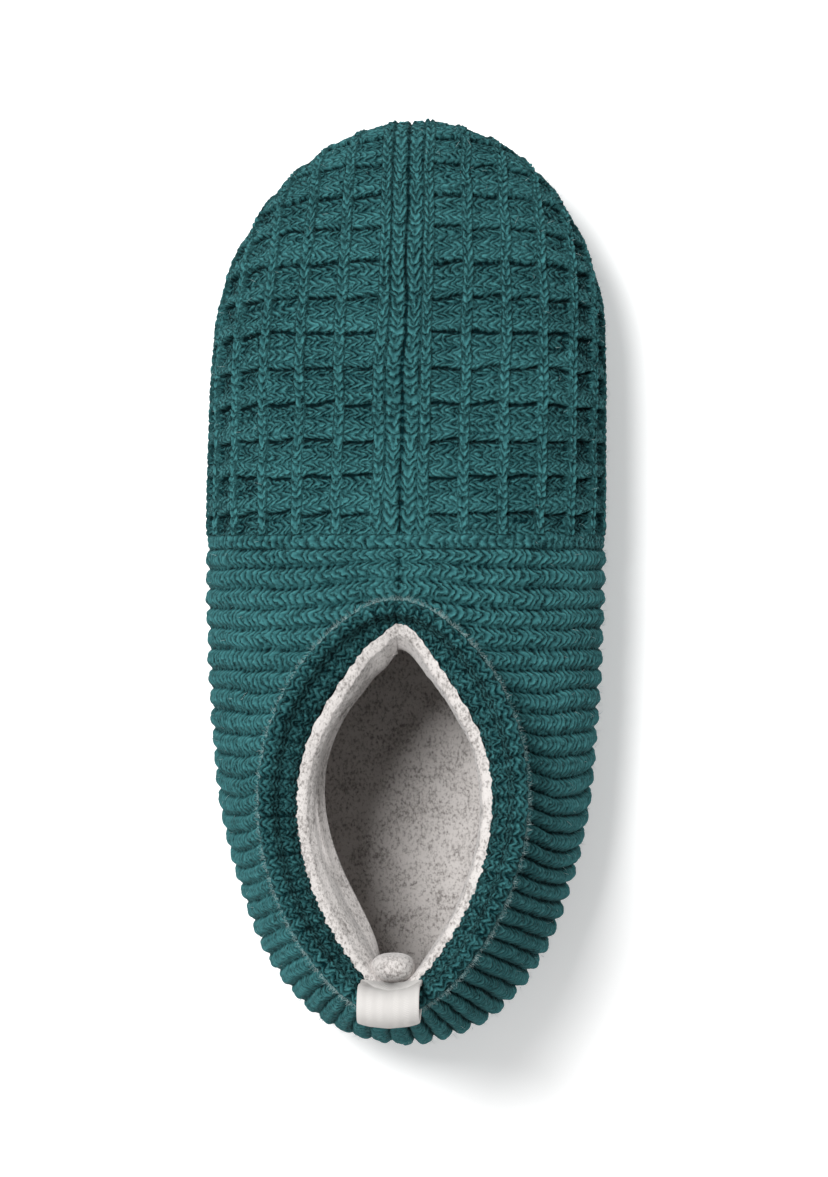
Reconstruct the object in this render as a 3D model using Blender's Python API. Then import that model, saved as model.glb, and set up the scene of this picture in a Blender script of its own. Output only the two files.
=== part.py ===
"""A knitted bootie slipper for the left foot: a hollow knit upper with a standing collar, a plain
knit band round its foot, a cupped grip sole, a padded insole and a pull loop at the back of the collar.

Metres. +Y points to the toe, +X to the inner side of the foot, +Z up. The origin is on the flat
underside of the sole, half way along the slipper.
"""

import bmesh
import bpy
import numpy as np

# Overall form of the upper
LENGTH = 0.2608
BALL_WIDTH = 0.112
WIDEST_HEIGHT = 0.038
INSTEP_HEIGHT = 0.082
THROAT_FROM_TOE = 0.1434
SECTION_LEAN = 0.010
TOE_SWING = 0.0042

# Underside
TOE_SPRING = 0.0115
TOE_SPRING_FROM_TOE = 0.085
HEEL_RISE = 0.0062
HEEL_RISE_FROM_HEEL = 0.068
SIDE_ROUNDING = 0.012
TOE_ROUNDING = 0.024
HEEL_ROUNDING = 0.010
WAIST_INNER = 0.0025
SOLE_LIP_HEIGHT = 0.0056
BAND_HEIGHT = 0.010

# Collar
NECK_LENGTH = 0.101
NECK_WIDTH = 0.061
COLLAR_LENGTH = 0.105
COLLAR_WIDTH = 0.0726
COLLAR_FRONT_OVERHANG = 0.003
COLLAR_FRONT_DEPTH = 0.015
COLLAR_BACK_DEPTH = 0.020
NECK_RISE = 0.019
LINING_EDGE_DROP = 0.011

# Thicknesses and clearances
KNIT_THICKNESS = 0.003
LINING_THICKNESS = 0.001
SOLE_THICKNESS = 0.004
INSOLE_THICKNESS = 0.0035
CLEARANCE = 0.0003

# Pull loop
TAPE_WIDTH = 0.0165
TAPE_THICKNESS = 0.001
TAPE_SEWN_LENGTH = 0.006
LOOP_HEIGHT = 0.018
LOOP_DEPTH = 0.0125

# How much narrower the collar's back is than its middle, as a share
COLLAR_TAPER_SHARE = 0.25

# How finely the surfaces are cut
FORE_COLUMNS = 19
REAR_COLUMNS = 23

# Plan of the upper where it is widest.
# Columns: share of the length from the heel, half width as a share of half the ball width.
OUTLINE = (
    (0.000, 0.000),
    (0.022, 0.388),
    (0.068, 0.607),
    (0.114, 0.736),
    (0.160, 0.812),
    (0.206, 0.875),
    (0.252, 0.920),
    (0.344, 0.968),
    (0.500, 1.000),
    (0.660, 0.998),
    (0.735, 0.990),
    (0.804, 0.961),
    (0.850, 0.897),
    (0.896, 0.789),
    (0.942, 0.621),
    (0.965, 0.492),
    (1.000, 0.000),
)

# Top line of the vamp before the toe rounds it off.
# Columns: share of the length from the heel, height as a share of the instep height.
VAMP_LINE = (
    (0.000, 1.000),
    (0.450, 1.000),
    (0.505, 0.966),
    (0.596, 0.941),
    (0.688, 0.925),
    (0.780, 0.873),
    (0.826, 0.829),
    (0.896, 0.770),
    (0.942, 0.741),
    (1.000, 0.722),
)

# Rim of the collar from front to back.
# Columns: share of the collar's length, share of the rise from its front height to its back height.
RIM_LINE = (
    (0.00, 0.00),
    (0.10, 0.19),
    (0.35, 0.38),
    (0.50, 0.50),
    (0.70, 0.66),
    (0.85, 0.80),
    (1.00, 1.00),
)

# Fullness of the cross sections, a row for each station from the toe (0) round to the heel (1).
# Columns: station, powers of the lower curve outwards and upwards, powers of the upper curve
# outwards and upwards, height of the widest line as a share of WIDEST_HEIGHT, height of the side
# band as a share of BAND_HEIGHT.
SECTIONS = (
    (0.00, 1.7, 1.3, 2.60, 2.00, 1.03, 1.20),
    (0.20, 1.8, 1.7, 2.90, 2.00, 1.02, 1.60),
    (0.35, 2.0, 2.2, 3.20, 2.00, 1.00, 1.80),
    (0.48, 2.0, 2.2, 2.80, 1.90, 1.00, 1.40),
    (0.56, 2.0, 2.2, 2.20, 1.80, 1.00, 1.10),
    (0.70, 2.0, 2.2, 1.35, 1.70, 0.98, 1.00),
    (1.00, 1.9, 1.9, 1.15, 1.60, 0.94, 1.00),
)

# The station of the throat, whose section meets the widest line a little behind the throat itself
THROAT_STATION = np.arccos(1 - 2 * (THROAT_FROM_TOE + SECTION_LEAN) / LENGTH) / np.pi
WALL = KNIT_THICKNESS + LINING_THICKNESS


def smooth(table, column, at):
    """A smooth curve through a table's rows: cubic pieces whose slope at a row is that of its neighbours."""
    rows = np.array(table)
    x, y = rows[:, 0], rows[:, column]
    slope = np.gradient(y, x)
    at = np.clip(at, x[0], x[-1])
    i = np.clip(np.searchsorted(x, at, side="right") - 1, 0, len(x) - 2)
    gap = x[i + 1] - x[i]
    t = (at - x[i]) / gap
    ends = (1 + 2 * t) * (1 - t) ** 2 * y[i] + t**2 * (3 - 2 * t) * y[i + 1]
    return ends + gap * (t * (1 - t) ** 2 * slope[i] + t**2 * (t - 1) * slope[i + 1])


def half_width(share):
    """Half width of the outline: the squares of the table's shares are joined, so that both ends are round."""
    rows = [(row[0], row[1] ** 2) for row in OUTLINE]
    return np.sqrt(np.maximum(smooth(rows, 1, share), 0)) * BALL_WIDTH / 2


def swing(y):
    """Sideways bend of the centre line: nothing at the heel, turning to the inner side at the toe."""
    share = np.clip(y / LENGTH + 0.5, 0, 1)
    return TOE_SWING * share**4


def keel(y):
    """Height of the underside: flat under heel and ball, rising to the toe and, less, to the heel."""
    spring_start = LENGTH / 2 - TOE_SPRING_FROM_TOE
    spring_run = TOE_SPRING_FROM_TOE - TOE_ROUNDING
    rise_start = -LENGTH / 2 + HEEL_RISE_FROM_HEEL
    rise_run = HEEL_RISE_FROM_HEEL - HEEL_ROUNDING
    toe = TOE_SPRING * np.maximum((y - spring_start) / spring_run, 0) ** 2
    heel = HEEL_RISE * np.maximum((rise_start - y) / rise_run, 0) ** 1.5
    return toe + heel


def oval(share, front, length, width):
    """A collar ring seen from above: share 0 is its front point and 1 its back point, and it narrows to the back."""
    angle = np.pi * share
    along = (1 - np.cos(angle)) / 2
    x = width / 2 * np.sin(angle) * (1 - COLLAR_TAPER_SHARE * along**3)
    return x, front - length * along, along


def ring_points(u):
    """The rings that a section hangs on, for stations u from -1 (heel, outer side) through 0 (toe) to 1 (heel)."""
    u = (u + 1) % 2 - 1
    station = np.abs(u)
    side = np.where(u < 0, -1.0, 1.0)
    share = (1 + np.cos(np.pi * station)) / 2
    throat_y = LENGTH / 2 - THROAT_FROM_TOE

    y = (share - 0.5) * LENGTH
    widest_z = WIDEST_HEIGHT * smooth(SECTIONS, 5, station)
    widest = np.stack([swing(y) + side * half_width(share), y, widest_z], -1)

    flat_y = -LENGTH / 2 + HEEL_ROUNDING + share * (LENGTH - HEEL_ROUNDING - TOE_ROUNDING)
    waist = WAIST_INNER * np.exp(-(((share - 0.38) / 0.16) ** 2)) * (side > 0)
    flat_half = half_width(share) * (1 - SIDE_ROUNDING / (BALL_WIDTH / 2)) - waist * np.sin(np.pi * station)
    flat_edge = np.stack([swing(flat_y) + side * flat_half, flat_y, keel(flat_y)], -1)

    spine_y = 0.72 * flat_y
    spine = np.stack([swing(spine_y), spine_y, keel(spine_y)], -1)

    ahead = np.clip(station / THROAT_STATION, 0, 1)
    ridge_reach = 0.685 * THROAT_FROM_TOE
    ridge_y = throat_y + ridge_reach * (1 - 0.1 * ahead - 0.9 * ahead**2.4)
    behind = np.clip((station - THROAT_STATION) / (1 - THROAT_STATION), 0, 1)
    round_share = behind * (1 + 0.7 * (1 - behind))
    neck_x, neck_y, along = oval(round_share, throat_y, NECK_LENGTH, NECK_WIDTH)
    rim_front = throat_y + COLLAR_FRONT_OVERHANG
    rim_x, rim_y, _ = oval(round_share, rim_front, COLLAR_LENGTH, COLLAR_WIDTH)
    deepening = COLLAR_BACK_DEPTH - COLLAR_FRONT_DEPTH
    rim_rise = NECK_RISE + deepening
    rim_z = INSTEP_HEIGHT + COLLAR_FRONT_DEPTH + rim_rise * smooth(RIM_LINE, 1, along)
    collar_depth = COLLAR_FRONT_DEPTH + deepening * along
    top_y = np.where(behind > 0, neck_y, ridge_y)
    top = np.stack([swing(top_y) + side * neck_x, top_y, rim_z - collar_depth], -1)
    rim = np.stack([swing(rim_y) + side * rim_x, rim_y, rim_z], -1)
    return station, widest, flat_edge, spine, top, rim


def sharp_skin(u, h):
    """The outer surface. h runs up each section: -1 middle of the underside, 0 edge of its flat, 1 top of
    the sole's lip, 2 top of the side band, 3 widest line, 4 middle of the vamp or neck of the collar, 5 rim.
    Below the widest line and above it a section is a quarter of a superellipse, with its own powers."""
    u, h = np.broadcast_arrays(np.asarray(u, float), np.asarray(h, float))
    station, widest, flat_edge, spine, top, rim = ring_points(u)
    low_out, low_up, high_out, high_up, band = (smooth(SECTIONS, column, station) for column in (1, 2, 3, 4, 6))
    widest_z, keel_z = widest[..., 2], flat_edge[..., 2]
    drop = widest_z - keel_z
    lip_z = keel_z + SOLE_LIP_HEIGHT
    band_z = lip_z + BAND_HEIGHT * band

    lip_out = (1 - ((widest_z - lip_z) / drop) ** low_up) ** (1 / low_out)
    lip_share = np.clip(h, 0, 1) * lip_out
    z_in_lip = widest_z - drop * (1 - lip_share**low_out) ** (1 / low_up)
    z_in_band = lip_z + np.clip(h - 1, 0, 1) * (band_z - lip_z)
    z_over_band = band_z + np.clip(h - 2, 0, 1) * (widest_z - band_z)
    low_z = np.where(h < 1, z_in_lip, np.where(h < 2, z_in_band, z_over_band))
    fall = np.clip((widest_z - low_z) / drop, 0, 1)
    out = (1 - fall**low_up) ** (1 / low_out)
    low = flat_edge + (widest - flat_edge) * out[..., None]
    low[..., 2] = low_z

    under = spine + (flat_edge - spine) * np.clip(h + 1, 0, 1)[..., None]
    under[..., 2] = keel(under[..., 1])

    climb = np.clip(h - 3, 0, 1)
    turn = np.pi / 2 * (1 - (1 - climb) ** (high_out / 2))
    inwards = 1 - np.cos(turn) ** (2 / high_out)
    high = widest + (top - widest) * inwards[..., None]
    line_share = np.clip(high[..., 1] / LENGTH + 0.5, 0, 1)
    vamp_z = INSTEP_HEIGHT * smooth(VAMP_LINE, 1, line_share)
    rear = np.clip((station - THROAT_STATION) / 0.08, 0, 1)
    rear = rear * rear * (3 - 2 * rear)
    crown = vamp_z + (top[..., 2] - vamp_z) * rear
    high[..., 2] = widest_z + (crown - widest_z) * np.sin(turn) ** (2 / high_up)

    flare = np.clip(h - 4, 0, 1)[..., None]
    top = top.copy()
    top[..., 2] = crown
    collar = top + (rim - top) * flare
    collar[..., :2] = top[..., :2] + (rim - top)[..., :2] * flare**1.4

    point = np.where((h < 0)[..., None], under, low)
    point = np.where((h > 3)[..., None], high, point)
    return np.where((h > 4)[..., None], collar, point)


def skin(u, h):
    """The outer surface with the fold at the neck eased behind the throat, by averaging along the section."""
    u, h = np.broadcast_arrays(np.asarray(u, float), np.asarray(h, float))
    station = np.abs((u + 1) % 2 - 1)
    reach = np.clip((station - THROAT_STATION) / 0.06, 0, 1) * 0.30 * np.exp(-(((h - 4) / 0.4) ** 2))
    return (sharp_skin(u, h - reach) + 2 * sharp_skin(u, h) + sharp_skin(u, np.minimum(h + reach, 5))) / 4


def outward(u, h):
    """Unit normal of the surface: the cross product of its two slopes, shared by both sides on the middle line."""
    step_u, step_h = 1e-3, 1e-2
    h = np.clip(h, -1 + step_h, 5 - step_h)
    along = skin(u + step_u, h) - skin(u - step_u, h)
    up = skin(u, h + step_h) - skin(u, h - step_h)
    normal = np.cross(up, along)
    return normal / np.linalg.norm(normal, axis=-1, keepdims=True)


def at_depth(u, h, depth):
    """A point under the surface by a depth, measured square to it."""
    u, h = np.broadcast_arrays(np.asarray(u, float), np.asarray(h, float))
    station = np.abs((u + 1) % 2 - 1)
    middle = (h <= -1) | ((h >= 4) & (station <= THROAT_STATION + 1e-9))
    inside_h = np.where(middle & (h < 4.001) & (h > 0), 3.97, h)
    here, mirrored = outward(u, inside_h), outward(-u, inside_h)
    both = here + mirrored
    both = both / np.linalg.norm(both, axis=-1, keepdims=True)
    normal = np.where(middle[..., None], both, here)
    return skin(u, h) - np.asarray(depth)[..., None] * normal


def eased_edge(u, h, towards):
    """The section height half a clearance away from h, so that two pieces cut there stay a clearance apart."""
    speed = np.linalg.norm(skin(u, h + 0.02 * towards) - skin(u, h), axis=-1) / 0.02
    return h + towards * CLEARANCE / 2 / speed


def stations():
    """Section stations once round the slipper, from the toe along the inner side, by the heel and back."""
    fore = np.linspace(0, THROAT_STATION, FORE_COLUMNS + 1)
    rear = np.linspace(THROAT_STATION, 1, REAR_COLUMNS + 1)[1:]
    inner = np.concatenate([fore, rear])
    return np.concatenate([inner, -inner[-2:0:-1]])


def add_grid(model, points, closed, flip=False):
    """Adds a grid of quads to a bmesh; closed joins its last row of points to its first."""
    count, rows = points.shape[:2]
    verts = [[model.verts.new(point) for point in row] for row in points]
    for i in range(count if closed else count - 1):
        j = (i + 1) % count
        for k in range(rows - 1):
            corners = [verts[i][k], verts[j][k], verts[j][k + 1], verts[i][k + 1]]
            model.faces.new(reversed(corners) if flip else corners)


def finish_object(name, model, colour, roughness):
    """Welds the seams of a bmesh, makes it an object with its own material and shades it smooth."""
    bmesh.ops.remove_doubles(model, verts=model.verts, dist=1e-6)
    bmesh.ops.dissolve_degenerate(model, edges=model.edges, dist=1e-7)
    bmesh.ops.recalc_face_normals(model, faces=model.faces)
    mesh = bpy.data.meshes.new(name)
    model.to_mesh(mesh)
    model.free()
    mesh.shade_smooth()
    mesh.set_sharp_from_angle(angle=np.radians(40))
    material = bpy.data.materials.new(name)
    material.use_nodes = True
    shader = material.node_tree.nodes["Principled BSDF"]
    shader.inputs["Base Color"].default_value = (*colour, 1)
    shader.inputs["Roughness"].default_value = roughness
    shader.inputs["Metallic"].default_value = 0
    mesh.materials.append(material)
    part = bpy.data.objects.new(name, mesh)
    bpy.context.scene.collection.objects.link(part)
    return part


def layer(name, u, h, outer_depth, inner_depth, colour, roughness, open_start):
    """A piece between two depths under the surface, as one closed solid; open_start adds the wall at its low edge."""
    u = u[:, None]
    outer = at_depth(u, h, outer_depth + 0 * h)
    inner = at_depth(u, h, inner_depth + 0 * h)
    model = bmesh.new()
    add_grid(model, outer, closed=True)
    add_grid(model, inner, closed=True, flip=True)
    add_grid(model, np.stack([outer[:, -1], inner[:, -1]], 1), closed=True)
    if open_start:
        add_grid(model, np.stack([inner[:, 0], outer[:, 0]], 1), closed=True)
    return finish_object(name, model, colour, roughness)


def section_rows(start, end, count):
    """Heights of the rows between two section heights, either of which may differ from station to station."""
    start, end = np.asarray(start), np.asarray(end)
    return np.stack([start + (end - start) * k / count for k in range(count + 1)], -1)


def make_sole(u):
    lip = eased_edge(u, 1, -1)
    rows = np.concatenate([section_rows(-1 + 0 * u, 0 * u, 3), section_rows(0 * u, lip, 3)[:, 1:]], 1)
    layer("grip_sole", u, rows, 0.0, SOLE_THICKNESS, (0.020, 0.105, 0.110), 0.9, open_start=False)


def make_side_band(u):
    rows = section_rows(eased_edge(u, 1, 1), eased_edge(u, 2, -1), 3)
    layer("knit_side_band", u, rows, 0.0, WALL, (0.020, 0.107, 0.112), 0.9, open_start=True)


def make_insole(u):
    rows = section_rows(-1 + 0 * u, -0.03 + 0 * u, 2)
    underside = SOLE_THICKNESS + CLEARANCE
    top = underside + INSOLE_THICKNESS
    layer("insole", u, rows, underside, top, (0.43, 0.41, 0.40), 0.95, open_start=False)


def make_upper(u):
    """The upper: a body patch right round the foot, and a collar patch behind the throat, with a ledge
    inside the collar where the lining ends."""
    model = bmesh.new()
    foot = np.concatenate([section_rows(eased_edge(u, 2, 1), 3 + 0 * u, 2), section_rows(3 + 0 * u, 4 + 0 * u, 8)[:, 1:]], 1)
    column = u[:, None]
    outer, inner = at_depth(column, foot, 0 * foot), at_depth(column, foot, WALL + 0 * foot)
    add_grid(model, outer, closed=True)
    add_grid(model, inner, closed=True, flip=True)
    add_grid(model, np.stack([inner[:, 0], outer[:, 0]], 1), closed=True)

    behind = u[np.abs(u) >= THROAT_STATION - 1e-9][:, None]
    collar_height = np.linalg.norm(skin(behind, 5.0) - skin(behind, 4.0), axis=-1)
    ledge = 5 - LINING_EDGE_DROP / collar_height
    ledge_half = CLEARANCE / collar_height
    outer_rows = np.concatenate([4 + 0 * behind, 4 + (ledge - 4) / 2, ledge, 5 + 0 * behind], 1)
    inner_rows = np.concatenate(
        [4 + 0 * behind, ledge - ledge_half, ledge + ledge_half, 5 + 0 * behind], 1
    )
    inner_depth = np.array([WALL, WALL, KNIT_THICKNESS, KNIT_THICKNESS]) + 0 * inner_rows
    outer = at_depth(behind, outer_rows, 0 * outer_rows)
    inner = at_depth(behind, inner_rows, inner_depth)
    add_grid(model, outer, closed=False)
    add_grid(model, inner, closed=False, flip=True)
    add_grid(model, np.stack([outer[:, -1], inner[:, -1]], 1), closed=False)
    finish_object("knit_upper", model, (0.020, 0.107, 0.112), 0.9)


def beside_collar(across, h, depth):
    """Points at a depth beside the back of the collar, found at given distances from the middle line."""
    around = np.linspace(0.72, 1.28, 81)
    wall = at_depth(around, h + 0 * around, depth + 0 * around)
    order = np.argsort(wall[:, 0])
    y = np.interp(across, wall[order, 0], wall[order, 1])
    z = np.interp(across, wall[order, 0], wall[order, 2])
    return np.stack([across, y, z], -1)


def make_pull_loop():
    """A flat tape sewn to both faces of the collar's back, standing up between them as a leaf-shaped loop."""
    across = np.linspace(-0.5, 0.5, 7) * TAPE_WIDTH
    stand_off = CLEARANCE + TAPE_THICKNESS / 2
    collar_height = np.linalg.norm(skin(1.0, 5.0) - skin(1.0, 4.0))
    leg = np.linspace(5 - TAPE_SEWN_LENGTH / collar_height, 5, 4)
    outside = [beside_collar(across, h, -stand_off) for h in leg]
    inside = [beside_collar(across, h, KNIT_THICKNESS + stand_off) for h in leg]
    start, end = outside[-1], inside[-1]
    bulge = (LOOP_DEPTH - TAPE_THICKNESS - abs(end[3, 1] - start[3, 1])) / 2
    loop = []
    for share in np.linspace(0, 1, 19)[1:-1]:
        row = start + (end - start) * share
        bow = row[:, 1] - row[3, 1]
        row[:, 1] = row[3, 1] + bow * (1 - 0.7 * np.sin(np.pi * share)) - bulge * np.sin(2 * np.pi * share)
        row[:, 2] += LOOP_HEIGHT * np.sin(np.pi * share)
        loop.append(row)
    middle = np.array([*outside, *loop, *inside[::-1]])
    normal = np.cross(np.gradient(middle, axis=0), np.gradient(middle, axis=1))
    normal /= np.linalg.norm(normal, axis=-1, keepdims=True)
    front, back = middle + normal * TAPE_THICKNESS / 2, middle - normal * TAPE_THICKNESS / 2
    model = bmesh.new()
    add_grid(model, front, closed=False)
    add_grid(model, back, closed=False, flip=True)
    for edge in ((slice(None), 0), (slice(None), -1), (0, slice(None)), (-1, slice(None))):
        add_grid(model, np.stack([front[edge], back[edge]], 1), closed=False)
    finish_object("pull_loop", model, (0.80, 0.78, 0.75), 0.7)


def main():
    for old in list(bpy.data.objects):
        bpy.data.objects.remove(old, do_unlink=True)
    around = stations()
    make_sole(around)
    make_side_band(around)
    make_upper(around)
    make_insole(around)
    make_pull_loop()


main()
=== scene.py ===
"""Looks of the knitted slipper: waffle vamp, ribbed quarters and collar, plain side band, grip sole,
brushed lining, padded insole and tape pull loop, with the studio that shows them.

Metres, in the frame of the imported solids: +Y to the toe, +X to the inner side of the foot, +Z up.
"""

import math

import bmesh
import bpy
import numpy as np
from mathutils import Matrix, Vector


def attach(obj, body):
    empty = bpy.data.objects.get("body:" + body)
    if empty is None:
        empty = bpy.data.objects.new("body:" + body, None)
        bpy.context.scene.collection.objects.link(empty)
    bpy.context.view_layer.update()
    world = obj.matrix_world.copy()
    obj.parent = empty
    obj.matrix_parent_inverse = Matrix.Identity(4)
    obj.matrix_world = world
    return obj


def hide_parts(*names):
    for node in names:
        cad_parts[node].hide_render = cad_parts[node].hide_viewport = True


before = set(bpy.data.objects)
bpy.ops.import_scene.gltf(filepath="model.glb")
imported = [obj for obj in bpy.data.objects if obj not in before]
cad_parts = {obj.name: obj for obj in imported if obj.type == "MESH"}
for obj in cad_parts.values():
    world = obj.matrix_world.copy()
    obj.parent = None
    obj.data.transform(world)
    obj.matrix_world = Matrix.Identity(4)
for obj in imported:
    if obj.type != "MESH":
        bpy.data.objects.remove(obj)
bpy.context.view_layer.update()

bl_info = {
    "name": "Knitted slipper",
    "version": (1, 0, 0),
    "blender": (4, 5, 0),
    "location": "3D View > Sidebar > Slipper",
    "description": "Knit, lining, tape and studio of a knitted slipper",
    "category": "Add Mesh",
}

# Form of the last and of the underside, as in the solids
LENGTH = 0.2608
BALL_WIDTH = 0.112
WIDEST_HEIGHT = 0.038
INSTEP_HEIGHT = 0.082
THROAT_FROM_TOE = 0.1434
SECTION_LEAN = 0.010
TOE_SWING = 0.0042
TOE_SPRING = 0.0115
TOE_SPRING_FROM_TOE = 0.085
HEEL_RISE = 0.0062
HEEL_RISE_FROM_HEEL = 0.068
SIDE_ROUNDING = 0.012
TOE_ROUNDING = 0.024
HEEL_ROUNDING = 0.010
WAIST_INNER = 0.0025
SOLE_LIP_HEIGHT = 0.0056
BAND_HEIGHT = 0.010

# Form of the collar, as in the solids
NECK_LENGTH = 0.101
NECK_WIDTH = 0.061
COLLAR_LENGTH = 0.105
COLLAR_WIDTH = 0.0726
COLLAR_FRONT_OVERHANG = 0.003
COLLAR_FRONT_DEPTH = 0.015
COLLAR_BACK_DEPTH = 0.020
NECK_RISE = 0.019
LINING_EDGE_DROP = 0.011
COLLAR_TAPER_SHARE = 0.25

# Thicknesses, as in the solids
KNIT_THICKNESS = 0.003
LINING_THICKNESS = 0.001
SOLE_THICKNESS = 0.004
INSOLE_THICKNESS = 0.0035
CLEARANCE = 0.0003
WALL = KNIT_THICKNESS + LINING_THICKNESS

# Pull loop, as in the solids
TAPE_WIDTH = 0.0165
TAPE_THICKNESS = 0.001
TAPE_SEWN_LENGTH = 0.006
LOOP_HEIGHT = 0.018
LOOP_DEPTH = 0.0125

# Plan of the upper where it is widest.
# Columns: share of the length from the heel, half width as a share of half the ball width.
OUTLINE = (
    (0.000, 0.000),
    (0.022, 0.388),
    (0.068, 0.607),
    (0.114, 0.736),
    (0.160, 0.812),
    (0.206, 0.875),
    (0.252, 0.920),
    (0.344, 0.968),
    (0.500, 1.000),
    (0.660, 0.998),
    (0.735, 0.990),
    (0.804, 0.961),
    (0.850, 0.897),
    (0.896, 0.789),
    (0.942, 0.621),
    (0.965, 0.492),
    (1.000, 0.000),
)

# Top line of the vamp. Columns: share of the length from the heel, height as a share of the instep height.
VAMP_LINE = (
    (0.000, 1.000),
    (0.450, 1.000),
    (0.505, 0.966),
    (0.596, 0.941),
    (0.688, 0.925),
    (0.780, 0.873),
    (0.826, 0.829),
    (0.896, 0.770),
    (0.942, 0.741),
    (1.000, 0.722),
)

# Rim of the collar. Columns: share of the collar's length, share of the rise from front to back.
RIM_LINE = (
    (0.00, 0.00),
    (0.10, 0.19),
    (0.35, 0.38),
    (0.50, 0.50),
    (0.70, 0.66),
    (0.85, 0.80),
    (1.00, 1.00),
)

# Fullness of the cross sections from the toe (0) round to the heel (1).
# Columns: station, powers of the lower curve outwards and upwards, powers of the upper curve
# outwards and upwards, height of the widest line and of the side band as shares of their sizes.
SECTIONS = (
    (0.00, 1.7, 1.3, 2.60, 2.00, 1.03, 1.20),
    (0.20, 1.8, 1.7, 2.90, 2.00, 1.02, 1.60),
    (0.35, 2.0, 2.2, 3.20, 2.00, 1.00, 1.80),
    (0.48, 2.0, 2.2, 2.80, 1.90, 1.00, 1.40),
    (0.56, 2.0, 2.2, 2.20, 1.80, 1.00, 1.10),
    (0.70, 2.0, 2.2, 1.35, 1.70, 0.98, 1.00),
    (1.00, 1.9, 1.9, 1.15, 1.60, 0.94, 1.00),
)

# The station of the throat, whose section meets the widest line a little behind the throat itself
THROAT_STATION = np.arccos(1 - 2 * (THROAT_FROM_TOE + SECTION_LEAN) / LENGTH) / np.pi
THROAT_Y = LENGTH / 2 - THROAT_FROM_TOE

# A fixed table of chance, so that each stitch differs a little and every run gives the same ones
CHANCE = np.random.default_rng(11).uniform(-1, 1, (211, 223))


def linear(hex_colour):
    """The linear red, green and blue of an sRGB hex colour."""
    shares = [int(hex_colour[i : i + 2], 16) / 255 for i in (1, 3, 5)]
    return tuple(c / 12.92 if c <= 0.04045 else ((c + 0.055) / 1.055) ** 2.4 for c in shares)


class KnitSizes(bpy.types.PropertyGroup):
    """Sizes of the knit, which a maker would set by needle and yarn."""

    rib_pitch: bpy.props.FloatProperty(
        name="Rib pitch",
        description="Distance between the lengthwise ribs of the waffle",
        default=0.0112,
        unit="LENGTH",
    )
    rib_width: bpy.props.FloatProperty(
        name="Rib width", description="Width of a lengthwise rib", default=0.0036, unit="LENGTH"
    )
    centre_half: bpy.props.FloatProperty(
        name="Centre band",
        description="From the middle line to the first rib",
        default=0.0064,
        unit="LENGTH",
    )
    cell_length: bpy.props.FloatProperty(
        name="Cell length", description="Length of a waffle cell", default=0.0101, unit="LENGTH"
    )
    cell_depth: bpy.props.FloatProperty(
        name="Cell depth",
        description="Depth of a waffle cell under its bars",
        default=0.0005,
        unit="LENGTH",
    )
    waffle_end: bpy.props.FloatProperty(
        name="Waffle end",
        description="Where the waffle ends and the ribs begin, along Y",
        default=0.009,
        unit="LENGTH",
    )
    ridge_pitch: bpy.props.FloatProperty(
        name="Ridge pitch",
        description="Distance between the upright ribs behind",
        default=0.0056,
        unit="LENGTH",
    )
    ridge_relief: bpy.props.FloatProperty(
        name="Ridge relief",
        description="Height of an upright rib over its groove",
        default=0.0015,
        unit="LENGTH",
    )
    stitch_length: bpy.props.FloatProperty(
        name="Stitch length",
        description="Length of a stitch along its column",
        default=0.0023,
        unit="LENGTH",
    )
    stitch_relief: bpy.props.FloatProperty(
        name="Stitch relief", description="Height of a stitch's leg", default=0.00055, unit="LENGTH"
    )
    band_column: bpy.props.FloatProperty(
        name="Band column",
        description="Width of a column of the plain side band",
        default=0.0032,
        unit="LENGTH",
    )
    dot_pitch: bpy.props.FloatProperty(
        name="Dot pitch",
        description="Lengthwise distance between grip dots",
        default=0.0053,
        unit="LENGTH",
    )
    dot_spacing: bpy.props.FloatProperty(
        name="Dot spacing",
        description="Distance between rows of grip dots",
        default=0.0023,
        unit="LENGTH",
    )


class SlipperColours(bpy.types.PropertyGroup):
    """Colours of the yarns, the lining, the tape and the grip dots."""

    # The yarn's colour runs from the dark teal to the raised teal: the dark end is painted shade down
    # between the stitches and strands, mixed with the yarn's random mottle.
    yarn_light: bpy.props.FloatVectorProperty(
        name="Yarn, raised",
        description="Teal where the knit is raised",
        default=linear("#417b7e"),
        subtype="COLOR",
    )
    yarn_dark: bpy.props.FloatVectorProperty(
        name="Yarn, hollow",
        description="Teal down in the knit",
        default=linear("#011d21"),
        subtype="COLOR",
    )
    lining_light: bpy.props.FloatVectorProperty(
        name="Lining, light",
        description="Light fibres of the grey marl",
        default=linear("#d0cbc8"),
        subtype="COLOR",
    )
    lining_dark: bpy.props.FloatVectorProperty(
        name="Lining, dark",
        description="Dark flecks of the grey marl",
        default=linear("#86817e"),
        subtype="COLOR",
    )
    tape: bpy.props.FloatVectorProperty(
        name="Tape", description="Off-white cotton tape", default=linear("#cbc8c5"), subtype="COLOR"
    )
    dots: bpy.props.FloatVectorProperty(
        name="Grip dots",
        description="Aubergine rubber of the grip dots",
        default=linear("#4f4467"),
        subtype="COLOR",
    )


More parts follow.
